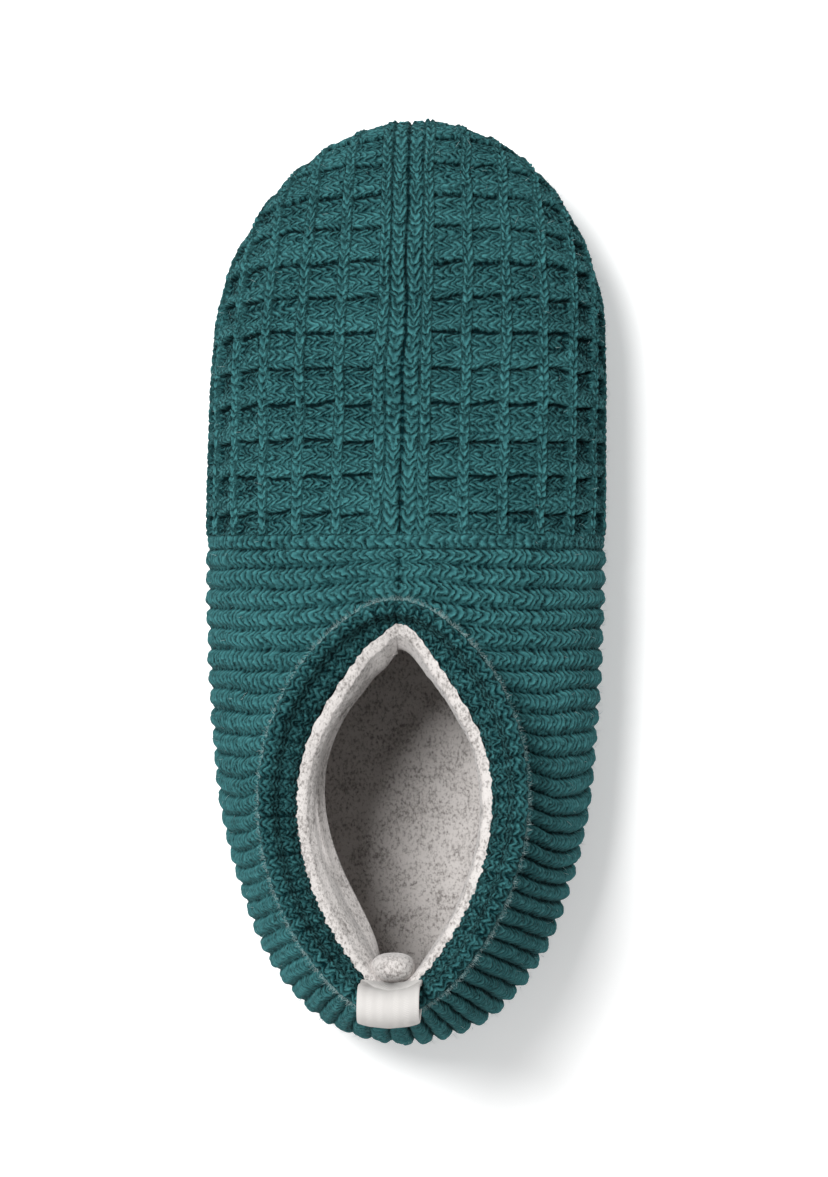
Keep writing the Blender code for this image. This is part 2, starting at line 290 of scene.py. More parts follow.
class StudioSettings(bpy.types.PropertyGroup):
    """Camera, light and lit table of the studio."""

    camera_height: bpy.props.FloatProperty(
        name="Camera height",
        description="Height of the camera over the floor",
        default=1.5,
        unit="LENGTH",
    )
    camera_side: bpy.props.FloatProperty(
        name="Camera to the side",
        description="How far the camera stands to the inner side",
        default=0.065,
        unit="LENGTH",
    )
    lens: bpy.props.FloatProperty(name="Lens", description="Focal length in millimetres", default=158.0)
    key_power: bpy.props.FloatProperty(
        name="Key light",
        description="Power of the large soft light at the upper left",
        default=28.0,
        unit="POWER",
    )
    fill: bpy.props.FloatProperty(
        name="Fill", description="Strength of the light from all round", default=0.54
    )
    floor: bpy.props.FloatVectorProperty(
        name="Floor",
        description="Opal acrylic of the light table",
        default=linear("#f6f6f6"),
        subtype="COLOR",
    )
    table_glow: bpy.props.FloatProperty(
        name="Table glow",
        description="Strength of the light that comes up through the table",
        default=0.24,
    )


# Form of the shoe


def smooth(table, column, at):
    """A smooth curve through a table's rows: cubic pieces whose slope at a row is that of its
    neighbours."""
    rows = np.array(table)
    x, y = rows[:, 0], rows[:, column]
    slope = np.gradient(y, x)
    at = np.clip(at, x[0], x[-1])
    i = np.clip(np.searchsorted(x, at, side="right") - 1, 0, len(x) - 2)
    gap = x[i + 1] - x[i]
    t = (at - x[i]) / gap
    ends = (1 + 2 * t) * (1 - t) ** 2 * y[i] + t**2 * (3 - 2 * t) * y[i + 1]
    return ends + gap * (t * (1 - t) ** 2 * slope[i] + t**2 * (t - 1) * slope[i + 1])


def step(low, high, at):
    """Rises smoothly from 0 at low to 1 at high: three times the share squared less twice its cube."""
    share = np.clip((at - low) / (high - low), 0, 1)
    return share * share * (3 - 2 * share)


def hump(distance, width):
    """A bell: the natural exponent of minus the squared distance in widths."""
    return np.exp(-((distance / width) ** 2))


def unit(vectors):
    """Vectors divided by their own lengths."""
    return vectors / np.linalg.norm(vectors, axis=-1, keepdims=True)


def half_width(share):
    """Half width of the outline: the squares of the table's shares are joined, so that both ends are
    round."""
    rows = [(row[0], row[1] ** 2) for row in OUTLINE]
    return np.sqrt(np.maximum(smooth(rows, 1, share), 0)) * BALL_WIDTH / 2


def swing(y):
    """Sideways bend of the centre line: the toe swing times the fourth power of the share of the
    length."""
    share = np.clip(y / LENGTH + 0.5, 0, 1)
    return TOE_SWING * share**4


def keel(y):
    """Height of the underside: flat under heel and ball, a square rise to the toe and a 1.5 power one
    to the heel."""
    spring_start = LENGTH / 2 - TOE_SPRING_FROM_TOE
    spring_run = TOE_SPRING_FROM_TOE - TOE_ROUNDING
    rise_start = -LENGTH / 2 + HEEL_RISE_FROM_HEEL
    rise_run = HEEL_RISE_FROM_HEEL - HEEL_ROUNDING
    toe = TOE_SPRING * np.maximum((y - spring_start) / spring_run, 0) ** 2
    heel = HEEL_RISE * np.maximum((rise_start - y) / rise_run, 0) ** 1.5
    return toe + heel


def oval(share, front, length, width):
    """A collar ring seen from above: share 0 is its front point and 1 its back point, and it narrows to
    the back."""
    angle = np.pi * share
    along = (1 - np.cos(angle)) / 2
    x = width / 2 * np.sin(angle) * (1 - COLLAR_TAPER_SHARE * along**3)
    return x, front - length * along, along


def ring_points(u):
    """The rings that a section hangs on, for stations u from -1 (heel, outer side) through 0 (toe) to 1
    (heel)."""
    u = (u + 1) % 2 - 1
    station = np.abs(u)
    side = np.where(u < 0, -1.0, 1.0)
    share = (1 + np.cos(np.pi * station)) / 2

    y = (share - 0.5) * LENGTH
    widest_z = WIDEST_HEIGHT * smooth(SECTIONS, 5, station)
    widest = np.stack([swing(y) + side * half_width(share), y, widest_z], -1)

    flat_y = -LENGTH / 2 + HEEL_ROUNDING + share * (LENGTH - HEEL_ROUNDING - TOE_ROUNDING)
    waist = WAIST_INNER * np.exp(-(((share - 0.38) / 0.16) ** 2)) * (side > 0)
    flat_half = half_width(share) * (1 - SIDE_ROUNDING / (BALL_WIDTH / 2)) - waist * np.sin(np.pi * station)
    flat_edge = np.stack([swing(flat_y) + side * flat_half, flat_y, keel(flat_y)], -1)

    spine_y = 0.72 * flat_y
    spine = np.stack([swing(spine_y), spine_y, keel(spine_y)], -1)

    ahead = np.clip(station / THROAT_STATION, 0, 1)
    ridge_reach = 0.685 * THROAT_FROM_TOE
    ridge_y = THROAT_Y + ridge_reach * (1 - 0.1 * ahead - 0.9 * ahead**2.4)
    behind = np.clip((station - THROAT_STATION) / (1 - THROAT_STATION), 0, 1)
    round_share = behind * (1 + 0.7 * (1 - behind))
    neck_x, neck_y, along = oval(round_share, THROAT_Y, NECK_LENGTH, NECK_WIDTH)
    rim_x, rim_y, _ = oval(round_share, THROAT_Y + COLLAR_FRONT_OVERHANG, COLLAR_LENGTH, COLLAR_WIDTH)
    deepening = COLLAR_BACK_DEPTH - COLLAR_FRONT_DEPTH
    rim_z = INSTEP_HEIGHT + COLLAR_FRONT_DEPTH + (NECK_RISE + deepening) * smooth(RIM_LINE, 1, along)
    collar_depth = COLLAR_FRONT_DEPTH + deepening * along
    top_y = np.where(behind > 0, neck_y, ridge_y)
    top = np.stack([swing(top_y) + side * neck_x, top_y, rim_z - collar_depth], -1)
    rim = np.stack([swing(rim_y) + side * rim_x, rim_y, rim_z], -1)
    return station, widest, flat_edge, spine, top, rim


def sharp_skin(u, h):
    """The outer surface. h runs up each section: -1 middle of the underside, 0 edge of its flat, 1 top
    of the sole's lip, 2 top of the side band, 3 widest line, 4 middle of the vamp or neck of the
    collar, 5 rim. Below the widest line and above it a section is a quarter of a superellipse, with its
    own powers."""
    u, h = np.broadcast_arrays(np.asarray(u, float), np.asarray(h, float))
    station, widest, flat_edge, spine, top, rim = ring_points(u)
    columns = (1, 2, 3, 4, 6)
    low_out, low_up, high_out, high_up, band = (smooth(SECTIONS, column, station) for column in columns)
    widest_z, keel_z = widest[..., 2], flat_edge[..., 2]
    drop = widest_z - keel_z
    lip_z = keel_z + SOLE_LIP_HEIGHT
    band_z = lip_z + BAND_HEIGHT * band

    lip_out = (1 - ((widest_z - lip_z) / drop) ** low_up) ** (1 / low_out)
    lip_share = np.clip(h, 0, 1) * lip_out
    z_in_lip = widest_z - drop * (1 - lip_share**low_out) ** (1 / low_up)
    z_in_band = lip_z + np.clip(h - 1, 0, 1) * (band_z - lip_z)
    z_over_band = band_z + np.clip(h - 2, 0, 1) * (widest_z - band_z)
    low_z = np.where(h < 1, z_in_lip, np.where(h < 2, z_in_band, z_over_band))
    fall = np.clip((widest_z - low_z) / drop, 0, 1)
    out = (1 - fall**low_up) ** (1 / low_out)
    low = flat_edge + (widest - flat_edge) * out[..., None]
    low[..., 2] = low_z

    under = spine + (flat_edge - spine) * np.clip(h + 1, 0, 1)[..., None]
    under[..., 2] = keel(under[..., 1])

    climb = np.clip(h - 3, 0, 1)
    turn = np.pi / 2 * (1 - (1 - climb) ** (high_out / 2))
    inwards = 1 - np.cos(turn) ** (2 / high_out)
    high = widest + (top - widest) * inwards[..., None]
    line_share = np.clip(high[..., 1] / LENGTH + 0.5, 0, 1)
    vamp_z = INSTEP_HEIGHT * smooth(VAMP_LINE, 1, line_share)
    crown = vamp_z + (top[..., 2] - vamp_z) * step(THROAT_STATION, THROAT_STATION + 0.08, station)
    high[..., 2] = widest_z + (crown - widest_z) * np.sin(turn) ** (2 / high_up)

    flare = np.clip(h - 4, 0, 1)[..., None]
    top = top.copy()
    top[..., 2] = crown
    collar = top + (rim - top) * flare
    collar[..., :2] = top[..., :2] + (rim - top)[..., :2] * flare**1.4

    point = np.where((h < 0)[..., None], under, low)
    point = np.where((h > 3)[..., None], high, point)
    return np.where((h > 4)[..., None], collar, point)


def skin(u, h):
    """The outer surface with the fold at the neck eased behind the throat, by averaging along the
    section."""
    u, h = np.broadcast_arrays(np.asarray(u, float), np.asarray(h, float))
    station = np.abs((u + 1) % 2 - 1)
    reach = np.clip((station - THROAT_STATION) / 0.06, 0, 1) * 0.30 * hump(h - 4, 0.4)
    return (sharp_skin(u, h - reach) + 2 * sharp_skin(u, h) + sharp_skin(u, np.minimum(h + reach, 5))) / 4


def slopes(u, h):
    """Unit normal of the surface: the cross product of its two slopes."""
    step_u, step_h = 1e-3, 1e-2
    h = np.clip(h, -1 + step_h, 5 - step_h)
    along = skin(u + step_u, h) - skin(u - step_u, h)
    up = skin(u, h + step_h) - skin(u, h - step_h)
    return unit(np.cross(up, along))


def outward(u, h):
    """The normal, shared by both sides along the middle of the vamp and up the front of the collar."""
    u, h = np.broadcast_arrays(np.asarray(u, float), np.asarray(h, float))
    ahead = np.abs((u + 1) % 2 - 1) <= THROAT_STATION + 1e-9
    inside = np.where(ahead & (h < 4.001), np.minimum(h, 3.975), h)
    shared = np.where(ahead, step(3.9, 4.0, h), 0)[..., None]
    return unit(slopes(u, inside) + shared * slopes(-u, inside))


def run_along(points, axis):
    """Distance run along one direction of a grid: the sum of the steps between its points."""
    lengths = np.linalg.norm(np.diff(points, axis=axis), axis=-1)
    total = np.cumsum(lengths, axis=axis)
    pad = [(0, 0)] * total.ndim
    pad[axis] = (1, 0)
    return np.pad(total, pad)


def even_stations(start, end, count, height):
    """Stations at equal distances along the line of one section height."""
    fine = np.linspace(start, end, 4001)
    run = run_along(skin(fine, height), 0)
    return np.interp(np.linspace(0, run[-1], count), run, fine)


def side_stations(side, start, end, count):
    """Even stations along the widest line of one side, in the order that keeps the faces outwards."""
    u = side * even_stations(start, end, count, 3.0)
    return u if side > 0 else u[::-1]


def even_heights(u, start, end, count):
    """Section heights that cut each section, from start to end, into steps of equal length."""
    shares = np.linspace(0, 1, 97)
    start, end = np.broadcast_arrays(np.asarray(start, float), np.asarray(end, float))
    table = np.atleast_1d(start)[:, None] + np.atleast_1d(end - start)[:, None] * shares
    table = np.broadcast_to(table, (len(u), len(shares)))
    run = run_along(skin(u[:, None], table), 1)
    run = run / run[:, -1:]
    wanted = np.linspace(0, 1, count)
    i = np.clip((run[:, None, :] <= wanted[None, :, None]).sum(-1) - 1, 0, len(shares) - 2)
    low, high = np.take_along_axis(run, i, 1), np.take_along_axis(run, i + 1, 1)
    part = (wanted - low) / np.maximum(high - low, 1e-12)
    first, second = np.take_along_axis(table, i, 1), np.take_along_axis(table, i + 1, 1)
    return first + (second - first) * np.clip(part, 0, 1)


# Knit


def chance(i, j):
    """A fixed random number from -1 to 1 for each pair of whole numbers."""
    return CHANCE[i.astype(int) % CHANCE.shape[0], j.astype(int) % CHANCE.shape[1]]


def wander(across, along, size):
    """Smooth chance from -1 to 1 that changes over a size: the table's values at the corners of a grid
    of that size, blended by smooth steps."""
    a, b = across / size, along / size
    i, j = np.floor(a), np.floor(b)
    s, t = step(0, 1, a - i), step(0, 1, b - j)
    low = chance(i, j) * (1 - s) + chance(i + 1, j) * s
    high = chance(i, j + 1) * (1 - s) + chance(i + 1, j + 1) * s
    return low * (1 - t) + high * t


def v_stitches(across, along, width, length, lean, loose=1.0):
    """Columns of V stitches. Each half of a column is a row of slanted strands. A strand's phase is the
    distance along the column in stitches, less the lean times the distance from the column's middle,
    and its bed is a sine across the half column. loose is how uneven the stitches are. Returns the
    strand's height, its phase, its bed and its luck."""
    column = np.floor(across / width)
    place = across / width - column
    half = np.abs(2 * place - 1)
    leg_row = 2 * column + (place > 0.5)
    uneven = 0.34 * wander(across, along, 0.0026) + 0.30 * wander(along, across, 0.0012)
    phase = along / length - lean * half + loose * uneven
    luck = chance(np.floor(phase), leg_row)
    bed = np.clip(np.sin(np.pi * (0.14 + 0.86 * half)), 0, 1) ** 0.6
    strand = np.abs(np.sin(np.pi * phase)) ** 0.8 * bed
    return strand * (1 + 0.25 * luck), phase, bed, luck


def ridge_knit(across, along, sizes, ease=1.0):
    """Upright ribs: a flat-topped round for each rib, with a column of V stitches over it, whose points
    lie to one side of the rib's middle. ease raises or lowers the rounds."""
    across = across + 0.00045 * wander(across, along, 0.008) + 0.0002 * wander(along, across, 0.003)
    place = across / sizes.ridge_pitch % 1
    dome = (1 - np.abs(2 * place - 1) ** 2.6) ** 0.8
    beside = across + 0.16 * sizes.ridge_pitch
    strand, phase, bed, luck = v_stitches(beside, along, sizes.ridge_pitch, sizes.stitch_length, 1.2)
    round_relief = ease * sizes.ridge_relief * (dome * (1 + 0.12 * wander(across, along, 0.006)) - 0.72)
    relief = round_relief + sizes.stitch_relief * (strand - 0.5)
    return np.stack([relief, round_relief, phase, bed, luck])


def waffle_knit(across, along, sizes):
    """The waffle: ribs along the shoe, and between them cells that each fall from a bar to a slit. Down
    the sides of the foot, where the knit is stretched, the cells open into square pits. across is the
    distance from the middle line, along the distance from the zone's rear border to the toe."""
    across = across + 0.00045 * wander(across, along, 0.010) + 0.0002 * wander(along, across, 0.003)
    out = np.abs(across)
    from_rib = (out - sizes.centre_half + sizes.rib_pitch / 2) % sizes.rib_pitch - sizes.rib_pitch / 2
    cell_column = np.floor((out - sizes.centre_half) / sizes.rib_pitch) * 2 + (across > 0)
    in_cell = (out - sizes.centre_half) % sizes.rib_pitch - sizes.rib_pitch / 2
    cell_row = np.floor(along / sizes.cell_length)
    tilt = 0.06 + 0.05 * chance(cell_column, cell_row)
    shifted = along - tilt * in_cell * np.sign(across) + 0.0007 * wander(across, along, 0.005)
    cells = shifted / sizes.cell_length
    share = cells % 1

    lip = step(0.0, 0.04, share) * (1 - step(0.10, 0.45, share))
    slit_depth = 0.0012 + 0.0003 * chance(cell_row, cell_column)
    slit = -slit_depth * step(0.88, 0.985, share)
    stretched = step(0.036, 0.056, out)
    pit_drop = 0.0009 * stretched * step(0.36, 0.46, share) * step(0.0, 0.0009, np.abs(from_rib) - 0.0016)
    cell_round = 0.0003 * lip - sizes.cell_depth * (0.5 + 0.5 * step(0.1, 0.9, share)) + slit - pit_drop
    pit = v_stitches(cells * sizes.cell_length, out, 0.0040, 0.0023, 1.5)

    half_rib = 0.47 * sizes.rib_width
    rib_round = 0.0005 * np.clip(1 - (from_rib / half_rib) ** 2, 0, 1) ** 0.5 - 0.0001
    rib_round = rib_round - 0.0006 * hump(from_rib, 0.00035)
    rib = v_stitches(from_rib + sizes.rib_width / 2, along, sizes.rib_width, 0.0025, 0.9)
    on_rib = step(1.06 * half_rib, 0.74 * half_rib, np.abs(from_rib))

    centre_width = sizes.centre_half - half_rib
    plain = v_stitches(out, along, centre_width, 0.0027, 1.2)
    in_centre = step(centre_width + 0.0003, centre_width - 0.0003, out)
    centre_round = -0.0002 - 0.0008 * hump(out, 0.0006) - 0.0003 * hump(out - centre_width, 0.0005)

    round_relief = cell_round + (rib_round - cell_round) * on_rib
    round_relief = round_relief + (centre_round - round_relief) * in_centre
    border = v_stitches(along, across, 0.0040, 0.0024, 0.5)
    on_border = step(0.0042, 0.0036, along)
    round_relief = round_relief + (-0.0002 - 0.0003 * hump(along, 0.0007) - round_relief) * on_border
    zone = np.where(on_border > 0.5, 3, np.where(in_centre > 0.5, 2, np.where(on_rib > 0.5, 1, 0)))
    strand, phase, bed, luck = (np.choose(zone, parts) for parts in zip(pit, rib, plain, border))
    relief = round_relief + sizes.stitch_relief * (strand - 0.5)
    # The second layer, from which the yarn paints shade, keeps the pits shallower than the relief, so that
    # they are painted less dark.
    return np.stack([relief, round_relief + 0.6 * pit_drop * (1 - on_rib), phase, bed, luck])


def vamp_map(u, h, points, sizes):
    """Distance across the vamp from its middle line and along it from the waffle's rear border. Each
    section is laid out flat along its own direction in plan, which the ring points give."""
    _, widest, _, _, top, _ = ring_points(u)
    run = run_along(points, 1)
    from_ridge = run[:, -1:] - run
    direction = unit((widest - top)[:, :2])[:, None, :]
    across = from_ridge * direction[..., 0]
    y = np.where(h < 3, widest[:, None, 1], points[..., 1])
    toewards = top[:, None, 1] + from_ridge * direction[..., 1]
    along = np.where(direction[..., 1] > 0, toewards, y) - sizes.waffle_end
    return across, along, run


def quarter_map(u, h, points, sizes):
    """Distance along the foot, counted in ribs, and distance up each rib, behind the throat. The first
    is the run of the widest line at the bottom. A rib that starts there reaches the collar further
    forward, by a distance that grows from nothing at the throat to the whole gap at the heel. Between
    them it is a blend."""
    line = np.linspace(THROAT_STATION, 1, 2001)
    low_line, neck = skin(line, 3.0), skin(line, 4.0)[:, 1]
    low_start = sizes.waffle_end - low_line[0, 1]
    low_run = low_start + run_along(low_line, 0)
    behind = (neck[0] - neck) / (neck[0] - neck[-1])
    from_y = neck - (neck[-1] + LENGTH / 2) * behind**1.5
    ahead_y = np.linspace(0.05, low_line[0, 1], 20)[:-1]
    table_y = np.concatenate([ahead_y, low_line[:, 1]])
    table_run = np.concatenate([sizes.waffle_end - ahead_y, low_run])
    high_run = np.interp(-from_y, -table_y, table_run)
    station = np.abs((u + 1) % 2 - 1)
    low, high = np.interp(station, line, low_run), np.interp(station, line, high_run)
    run = run_along(points, 1)
    _, widest, _, _, top, _ = ring_points(u)
    reach = np.linalg.norm((top - widest)[:, None, :2], axis=-1)
    in_plan = np.clip(np.linalg.norm(points[..., :2] - widest[:, None, :2], axis=-1) / reach, 0, 1)
    by_height = np.clip((points[..., 2] - widest[:, None, 2]) / (top - widest)[:, None, 2], 0, 1)
    rear = step(THROAT_STATION, THROAT_STATION + 0.16, station)[:, None]
    share = in_plan + (by_height - in_plan) * rear
    share = np.where(h <= 3, 0, np.where(h >= 4, 1, share))
    return low[:, None] + (high - low)[:, None] * share, run


# Meshes and materials

# Layers of the knit that the yarn material reads: relief is the round of the knit, from which the material
# paints shade; phase and bed place the strands, whose gaps are painted in shade too; luck varies each
# stitch's tone.
KNIT_LAYERS = ("relief", "phase", "bed", "luck")


def grid_mesh(name, grids, weld=False):
    """An object from grids of points. A grid is its points, whether its columns close into a ring,
    whether it faces the other way, and its knit, which the materials read: relief, phase, bed and luck
    at each point."""
    coords, quads, knits = [], [], []
    start = 0
    for points, closed, inside, knit in grids:
        columns, rows = points.shape[:2]
        i = np.arange(columns if closed else columns - 1)[:, None]
        k = np.arange(rows - 1)[None, :]
        j = (i + 1) % columns
        near, far = i * rows + k, j * rows + k
        corners = np.stack([near, near + 1, far + 1, far], -1).reshape(-1, 4)
        quads.append(start + (corners[:, ::-1] if inside else corners))
        coords.append(points.reshape(-1, 3))
        if knit is not None:
            knits.append(knit[1:].reshape(len(KNIT_LAYERS), -1))
        start += columns * rows
    coords, quads = np.concatenate(coords), np.concatenate(quads)
    mesh = bpy.data.meshes.new(name)
    mesh.vertices.add(len(coords))
    mesh.vertices.foreach_set("co", coords.astype(np.float32).ravel())
    mesh.loops.add(quads.size)
    mesh.loops.foreach_set("vertex_index", quads.astype(np.int32).ravel())
    mesh.polygons.add(len(quads))
    mesh.polygons.foreach_set("loop_start", np.arange(0, quads.size, 4, dtype=np.int32))
    if knits:
        for label, values in zip(KNIT_LAYERS, np.concatenate(knits, 1)):
            layer = mesh.attributes.new(label, "FLOAT", "POINT")
            layer.data.foreach_set("value", values.astype(np.float32))
    mesh.update(calc_edges=True)
    if weld:
        model = bmesh.new()
        model.from_mesh(mesh)
        bmesh.ops.remove_doubles(model, verts=model.verts, dist=2e-6)
        bmesh.ops.dissolve_degenerate(model, edges=model.edges, dist=1e-7)
        model.to_mesh(mesh)
        model.free()
    mesh.validate()
    mesh.shade_smooth()
    piece = bpy.data.objects.new(name, mesh)
    bpy.context.scene.collection.objects.link(piece)
    return piece


def many_mesh(name, tubes):
    """One object of many equal small tubes or caps: an array of tube, point round it, level,
    coordinate."""
    count, around, levels = tubes.shape[:3]
    base = (np.arange(count) * around * levels)[:, None, None]
    a, k = np.arange(around)[None, :, None], np.arange(levels - 1)[None, None, :]
    b = (a + 1) % around
    near, far = base + a * levels + k, base + b * levels + k
    corners = np.stack([near, far, far + 1, near + 1], -1).reshape(-1, 4)
    mesh = bpy.data.meshes.new(name)
    mesh.from_pydata(tubes.reshape(-1, 3), [], corners)
    model = bmesh.new()
    model.from_mesh(mesh)
    bmesh.ops.recalc_face_normals(model, faces=model.faces)
    model.to_mesh(mesh)
    model.free()
    mesh.shade_smooth()
    piece = bpy.data.objects.new(name, mesh)
    bpy.context.scene.collection.objects.link(piece)
    return piece


def dress(piece, material, slot, *nodes):
    """Gives a piece its material and body, and hides the solids that it stands for. The slot is not used.
    """
    piece.data.materials.append(material)
    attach(piece, "root")
    if nodes:
        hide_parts(*nodes)


def add_node(tree, kind, values=None, links=None, **settings):
    """Adds a shader node, with its settings, the values of its free sockets and the links into it."""
    made = tree.nodes.new("ShaderNode" + kind)
    for name, value in settings.items():
        setattr(made, name, value)
    for socket, value in (values or {}).items():
        made.inputs[socket].default_value = value
    for socket, source in (links or {}).items():
        tree.links.new(source, made.inputs[socket])
    return made


def new_material(name):
    """An empty node material with its shader: returns the material, its tree and the shader node."""
    material = bpy.data.materials.new(name)
    material.use_nodes = True
    tree = material.node_tree
    return material, tree, tree.nodes["Principled BSDF"]


def wool_yarn(name, light, dark, low, high):
    """Ring-spun wool-blend yarn, dyed teal and lightly felted: matt, with a pale haze of loose fibres
    at its edges, and mottled from ply to ply. Its colour carries painted shade: darker down between
    the stitches, from relief low to relief high, and between the strands."""
    material, tree, shader = new_material(name)
    place = add_node(tree, "TexCoord").outputs["Object"]
    relief, phase, bed, luck = (
        add_node(tree, "Attribute", attribute_name=label).outputs["Fac"] for label in KNIT_LAYERS
    )
    mottle = add_node(
        tree, "TexNoise", {"Scale": 800.0, "Detail": 4.0, "Roughness": 0.75}, {"Vector": place}
    )
    patches = add_node(tree, "TexNoise", {"Scale": 45.0, "Detail": 2.0}, {"Vector": place})
    fibres = add_node(
        tree, "TexNoise", {"Scale": 2200.0, "Detail": 2.0, "Distortion": 0.6}, {"Vector": place}
    )

    shift = add_node(tree, "MapRange", {1: 0.25, 2: 0.75, 3: -1.3, 4: 1.3}, {0: mottle.outputs["Fac"]})
    turned = add_node(tree, "Math", {1: math.pi}, {0: phase}, operation="MULTIPLY")
    uneven = add_node(tree, "Math", links={0: turned.outputs[0], 1: shift.outputs[0]}, operation="ADD")
    wave = add_node(tree, "Math", links={0: uneven.outputs[0]}, operation="SINE")
    strand = add_node(tree, "Math", links={0: wave.outputs[0]}, operation="ABSOLUTE")
    on_bed = add_node(tree, "Math", links={0: strand.outputs[0], 1: bed}, operation="MULTIPLY")

    # Painted shade: the colour darkens where the relief is low, down between the stitches and in the
    # grooves, pits and tucks.
    height = add_node(tree, "MapRange", {1: low, 2: high, 3: -0.20, 4: 0.36}, {0: relief}, clamp=True)
    # Painted shade between the strands: lighter on each strand, darker in the gaps beside it.
    painted_strand_shade = add_node(tree, "MapRange", {1: 0.0, 2: 1.0, 3: -0.18, 4: 0.34}, {0: on_bed.outputs[0]})
    spread = add_node(tree, "MapRange", {1: 0.32, 2: 0.68, 3: -0.42, 4: 0.42}, {0: mottle.outputs["Fac"]})
    broad = add_node(tree, "MapRange", {1: 0.3, 2: 0.7, 3: 0.02, 4: 0.18}, {0: patches.outputs["Fac"]})
    total = height.outputs[0]
    for part in (painted_strand_shade, spread, broad):
        total = add_node(tree, "Math", links={0: total, 1: part.outputs[0]}, operation="ADD").outputs[0]
    share = add_node(tree, "Math", {1: 0.08}, {0: luck, 2: total}, operation="MULTIPLY_ADD", use_clamp=True)
    colour = add_node(tree, "Mix", {6: (*dark, 1), 7: (*light, 1)}, {0: share.outputs[0]}, data_type="RGBA")

    plies = add_node(tree, "Bump", {"Strength": 1.0, "Distance": 0.0004}, {"Height": on_bed.outputs[0]})
    loose = add_node(tree, "MapRange", {1: 0.2, 2: 0.8}, {0: mottle.outputs["Fac"]})
    fuzz = add_node(
        tree,
        "Bump",
        {"Strength": 0.8, "Distance": 0.0004},
        {"Height": loose.outputs[0], "Normal": plies.outputs[0]},
    )
    fine = add_node(
        tree,
        "Bump",
        {"Strength": 0.6, "Distance": 0.0002},
        {"Height": fibres.outputs["Fac"], "Normal": fuzz.outputs[0]},
    )
    tree.links.new(colour.outputs[2], shader.inputs["Base Color"])
    tree.links.new(fine.outputs["Normal"], shader.inputs["Normal"])
    shader.inputs["Roughness"].default_value = 0.95
    shader.inputs["Specular IOR Level"].default_value = 0.05
    shader.inputs["Sheen Weight"].default_value = 0.04
    shader.inputs["Sheen Roughness"].default_value = 0.40
    shader.inputs["Sheen Tint"].default_value = (*linear("#a9cfcd"), 1)
    return material


def brushed_jersey(name, light, dark):
    """Brushed grey marl jersey: matt cotton fleece with short raised fibres. Dark fibres are spun in
    with the light ones and surface as flecks 0.5 to 1 mm long, thicker in some patches than in
    others."""
    material, tree, shader = new_material(name)
    place = add_node(tree, "TexCoord").outputs["Object"]
    courses = add_node(tree, "Mapping", {"Scale": (1.0, 0.7, 0.7)}, {"Vector": place})
    flecks = add_node(
        tree,
        "TexNoise",
        {"Scale": 1250.0, "Detail": 3.0, "Roughness": 0.75},
        {"Vector": courses.outputs[0]},
    )
    haze = add_node(tree, "TexNoise", {"Scale": 130.0, "Detail": 4.0, "Roughness": 0.6}, {"Vector": place})
    soft = add_node(tree, "MapRange", {1: 0.3, 2: 0.7, 3: -0.08, 4: 0.08}, {0: haze.outputs["Fac"]})
    mixed = add_node(tree, "Math", links={0: flecks.outputs["Fac"], 1: soft.outputs[0]}, operation="ADD")
    sharp = add_node(tree, "MapRange", {1: 0.33, 2: 0.53, 3: 0.0, 4: 1.0}, {0: mixed.outputs[0]})
    tone = add_node(tree, "MapRange", {1: 0.3, 2: 0.7, 3: 0.82, 4: 1.0}, {0: haze.outputs["Fac"]})
    both = {0: sharp.outputs[0], 1: tone.outputs[0]}
    share = add_node(tree, "Math", links=both, operation="MULTIPLY", use_clamp=True)
    colour = add_node(tree, "Mix", {6: (*dark, 1), 7: (*light, 1)}, {0: share.outputs[0]}, data_type="RGBA")
    pile = add_node(tree, "TexNoise", {"Scale": 1300.0, "Detail": 2.0}, {"Vector": place})
    bumps = add_node(tree, "Bump", {"Strength": 0.8, "Distance": 0.0003}, {"Height": pile.outputs["Fac"]})
    tree.links.new(colour.outputs[2], shader.inputs["Base Color"])
    tree.links.new(bumps.outputs["Normal"], shader.inputs["Normal"])
    shader.inputs["Roughness"].default_value = 0.95
    shader.inputs["Specular IOR Level"].default_value = 0.15
    shader.inputs["Sheen Weight"].default_value = 0.25
    shader.inputs["Sheen Roughness"].default_value = 0.5
    return material


def rubber_dots(name, colour):
    """Screen-printed grip rubber: soft, with a dull gloss, and a little uneven where it was printed."""
    material, tree, shader = new_material(name)
    place = add_node(tree, "TexCoord").outputs["Object"]
    uneven = add_node(tree, "TexNoise", {"Scale": 700.0, "Detail": 2.0}, {"Vector": place})
    shade = add_node(tree, "MapRange", {1: 0.3, 2: 0.7, 3: 0.75, 4: 1.2}, {0: uneven.outputs["Fac"]})
    tone = add_node(
        tree,
        "Mix",
        {0: 1.0, 6: (*colour, 1)},
        {7: shade.outputs[0]},
        data_type="RGBA",
        blend_type="MULTIPLY",
    )
    bumps = add_node(tree, "Bump", {"Strength": 0.3, "Distance": 0.0001}, {"Height": uneven.outputs["Fac"]})
    tree.links.new(tone.outputs[2], shader.inputs["Base Color"])
    tree.links.new(bumps.outputs["Normal"], shader.inputs["Normal"])
    shader.inputs["Roughness"].default_value = 0.48
    shader.inputs["IOR"].default_value = 1.52
    return material


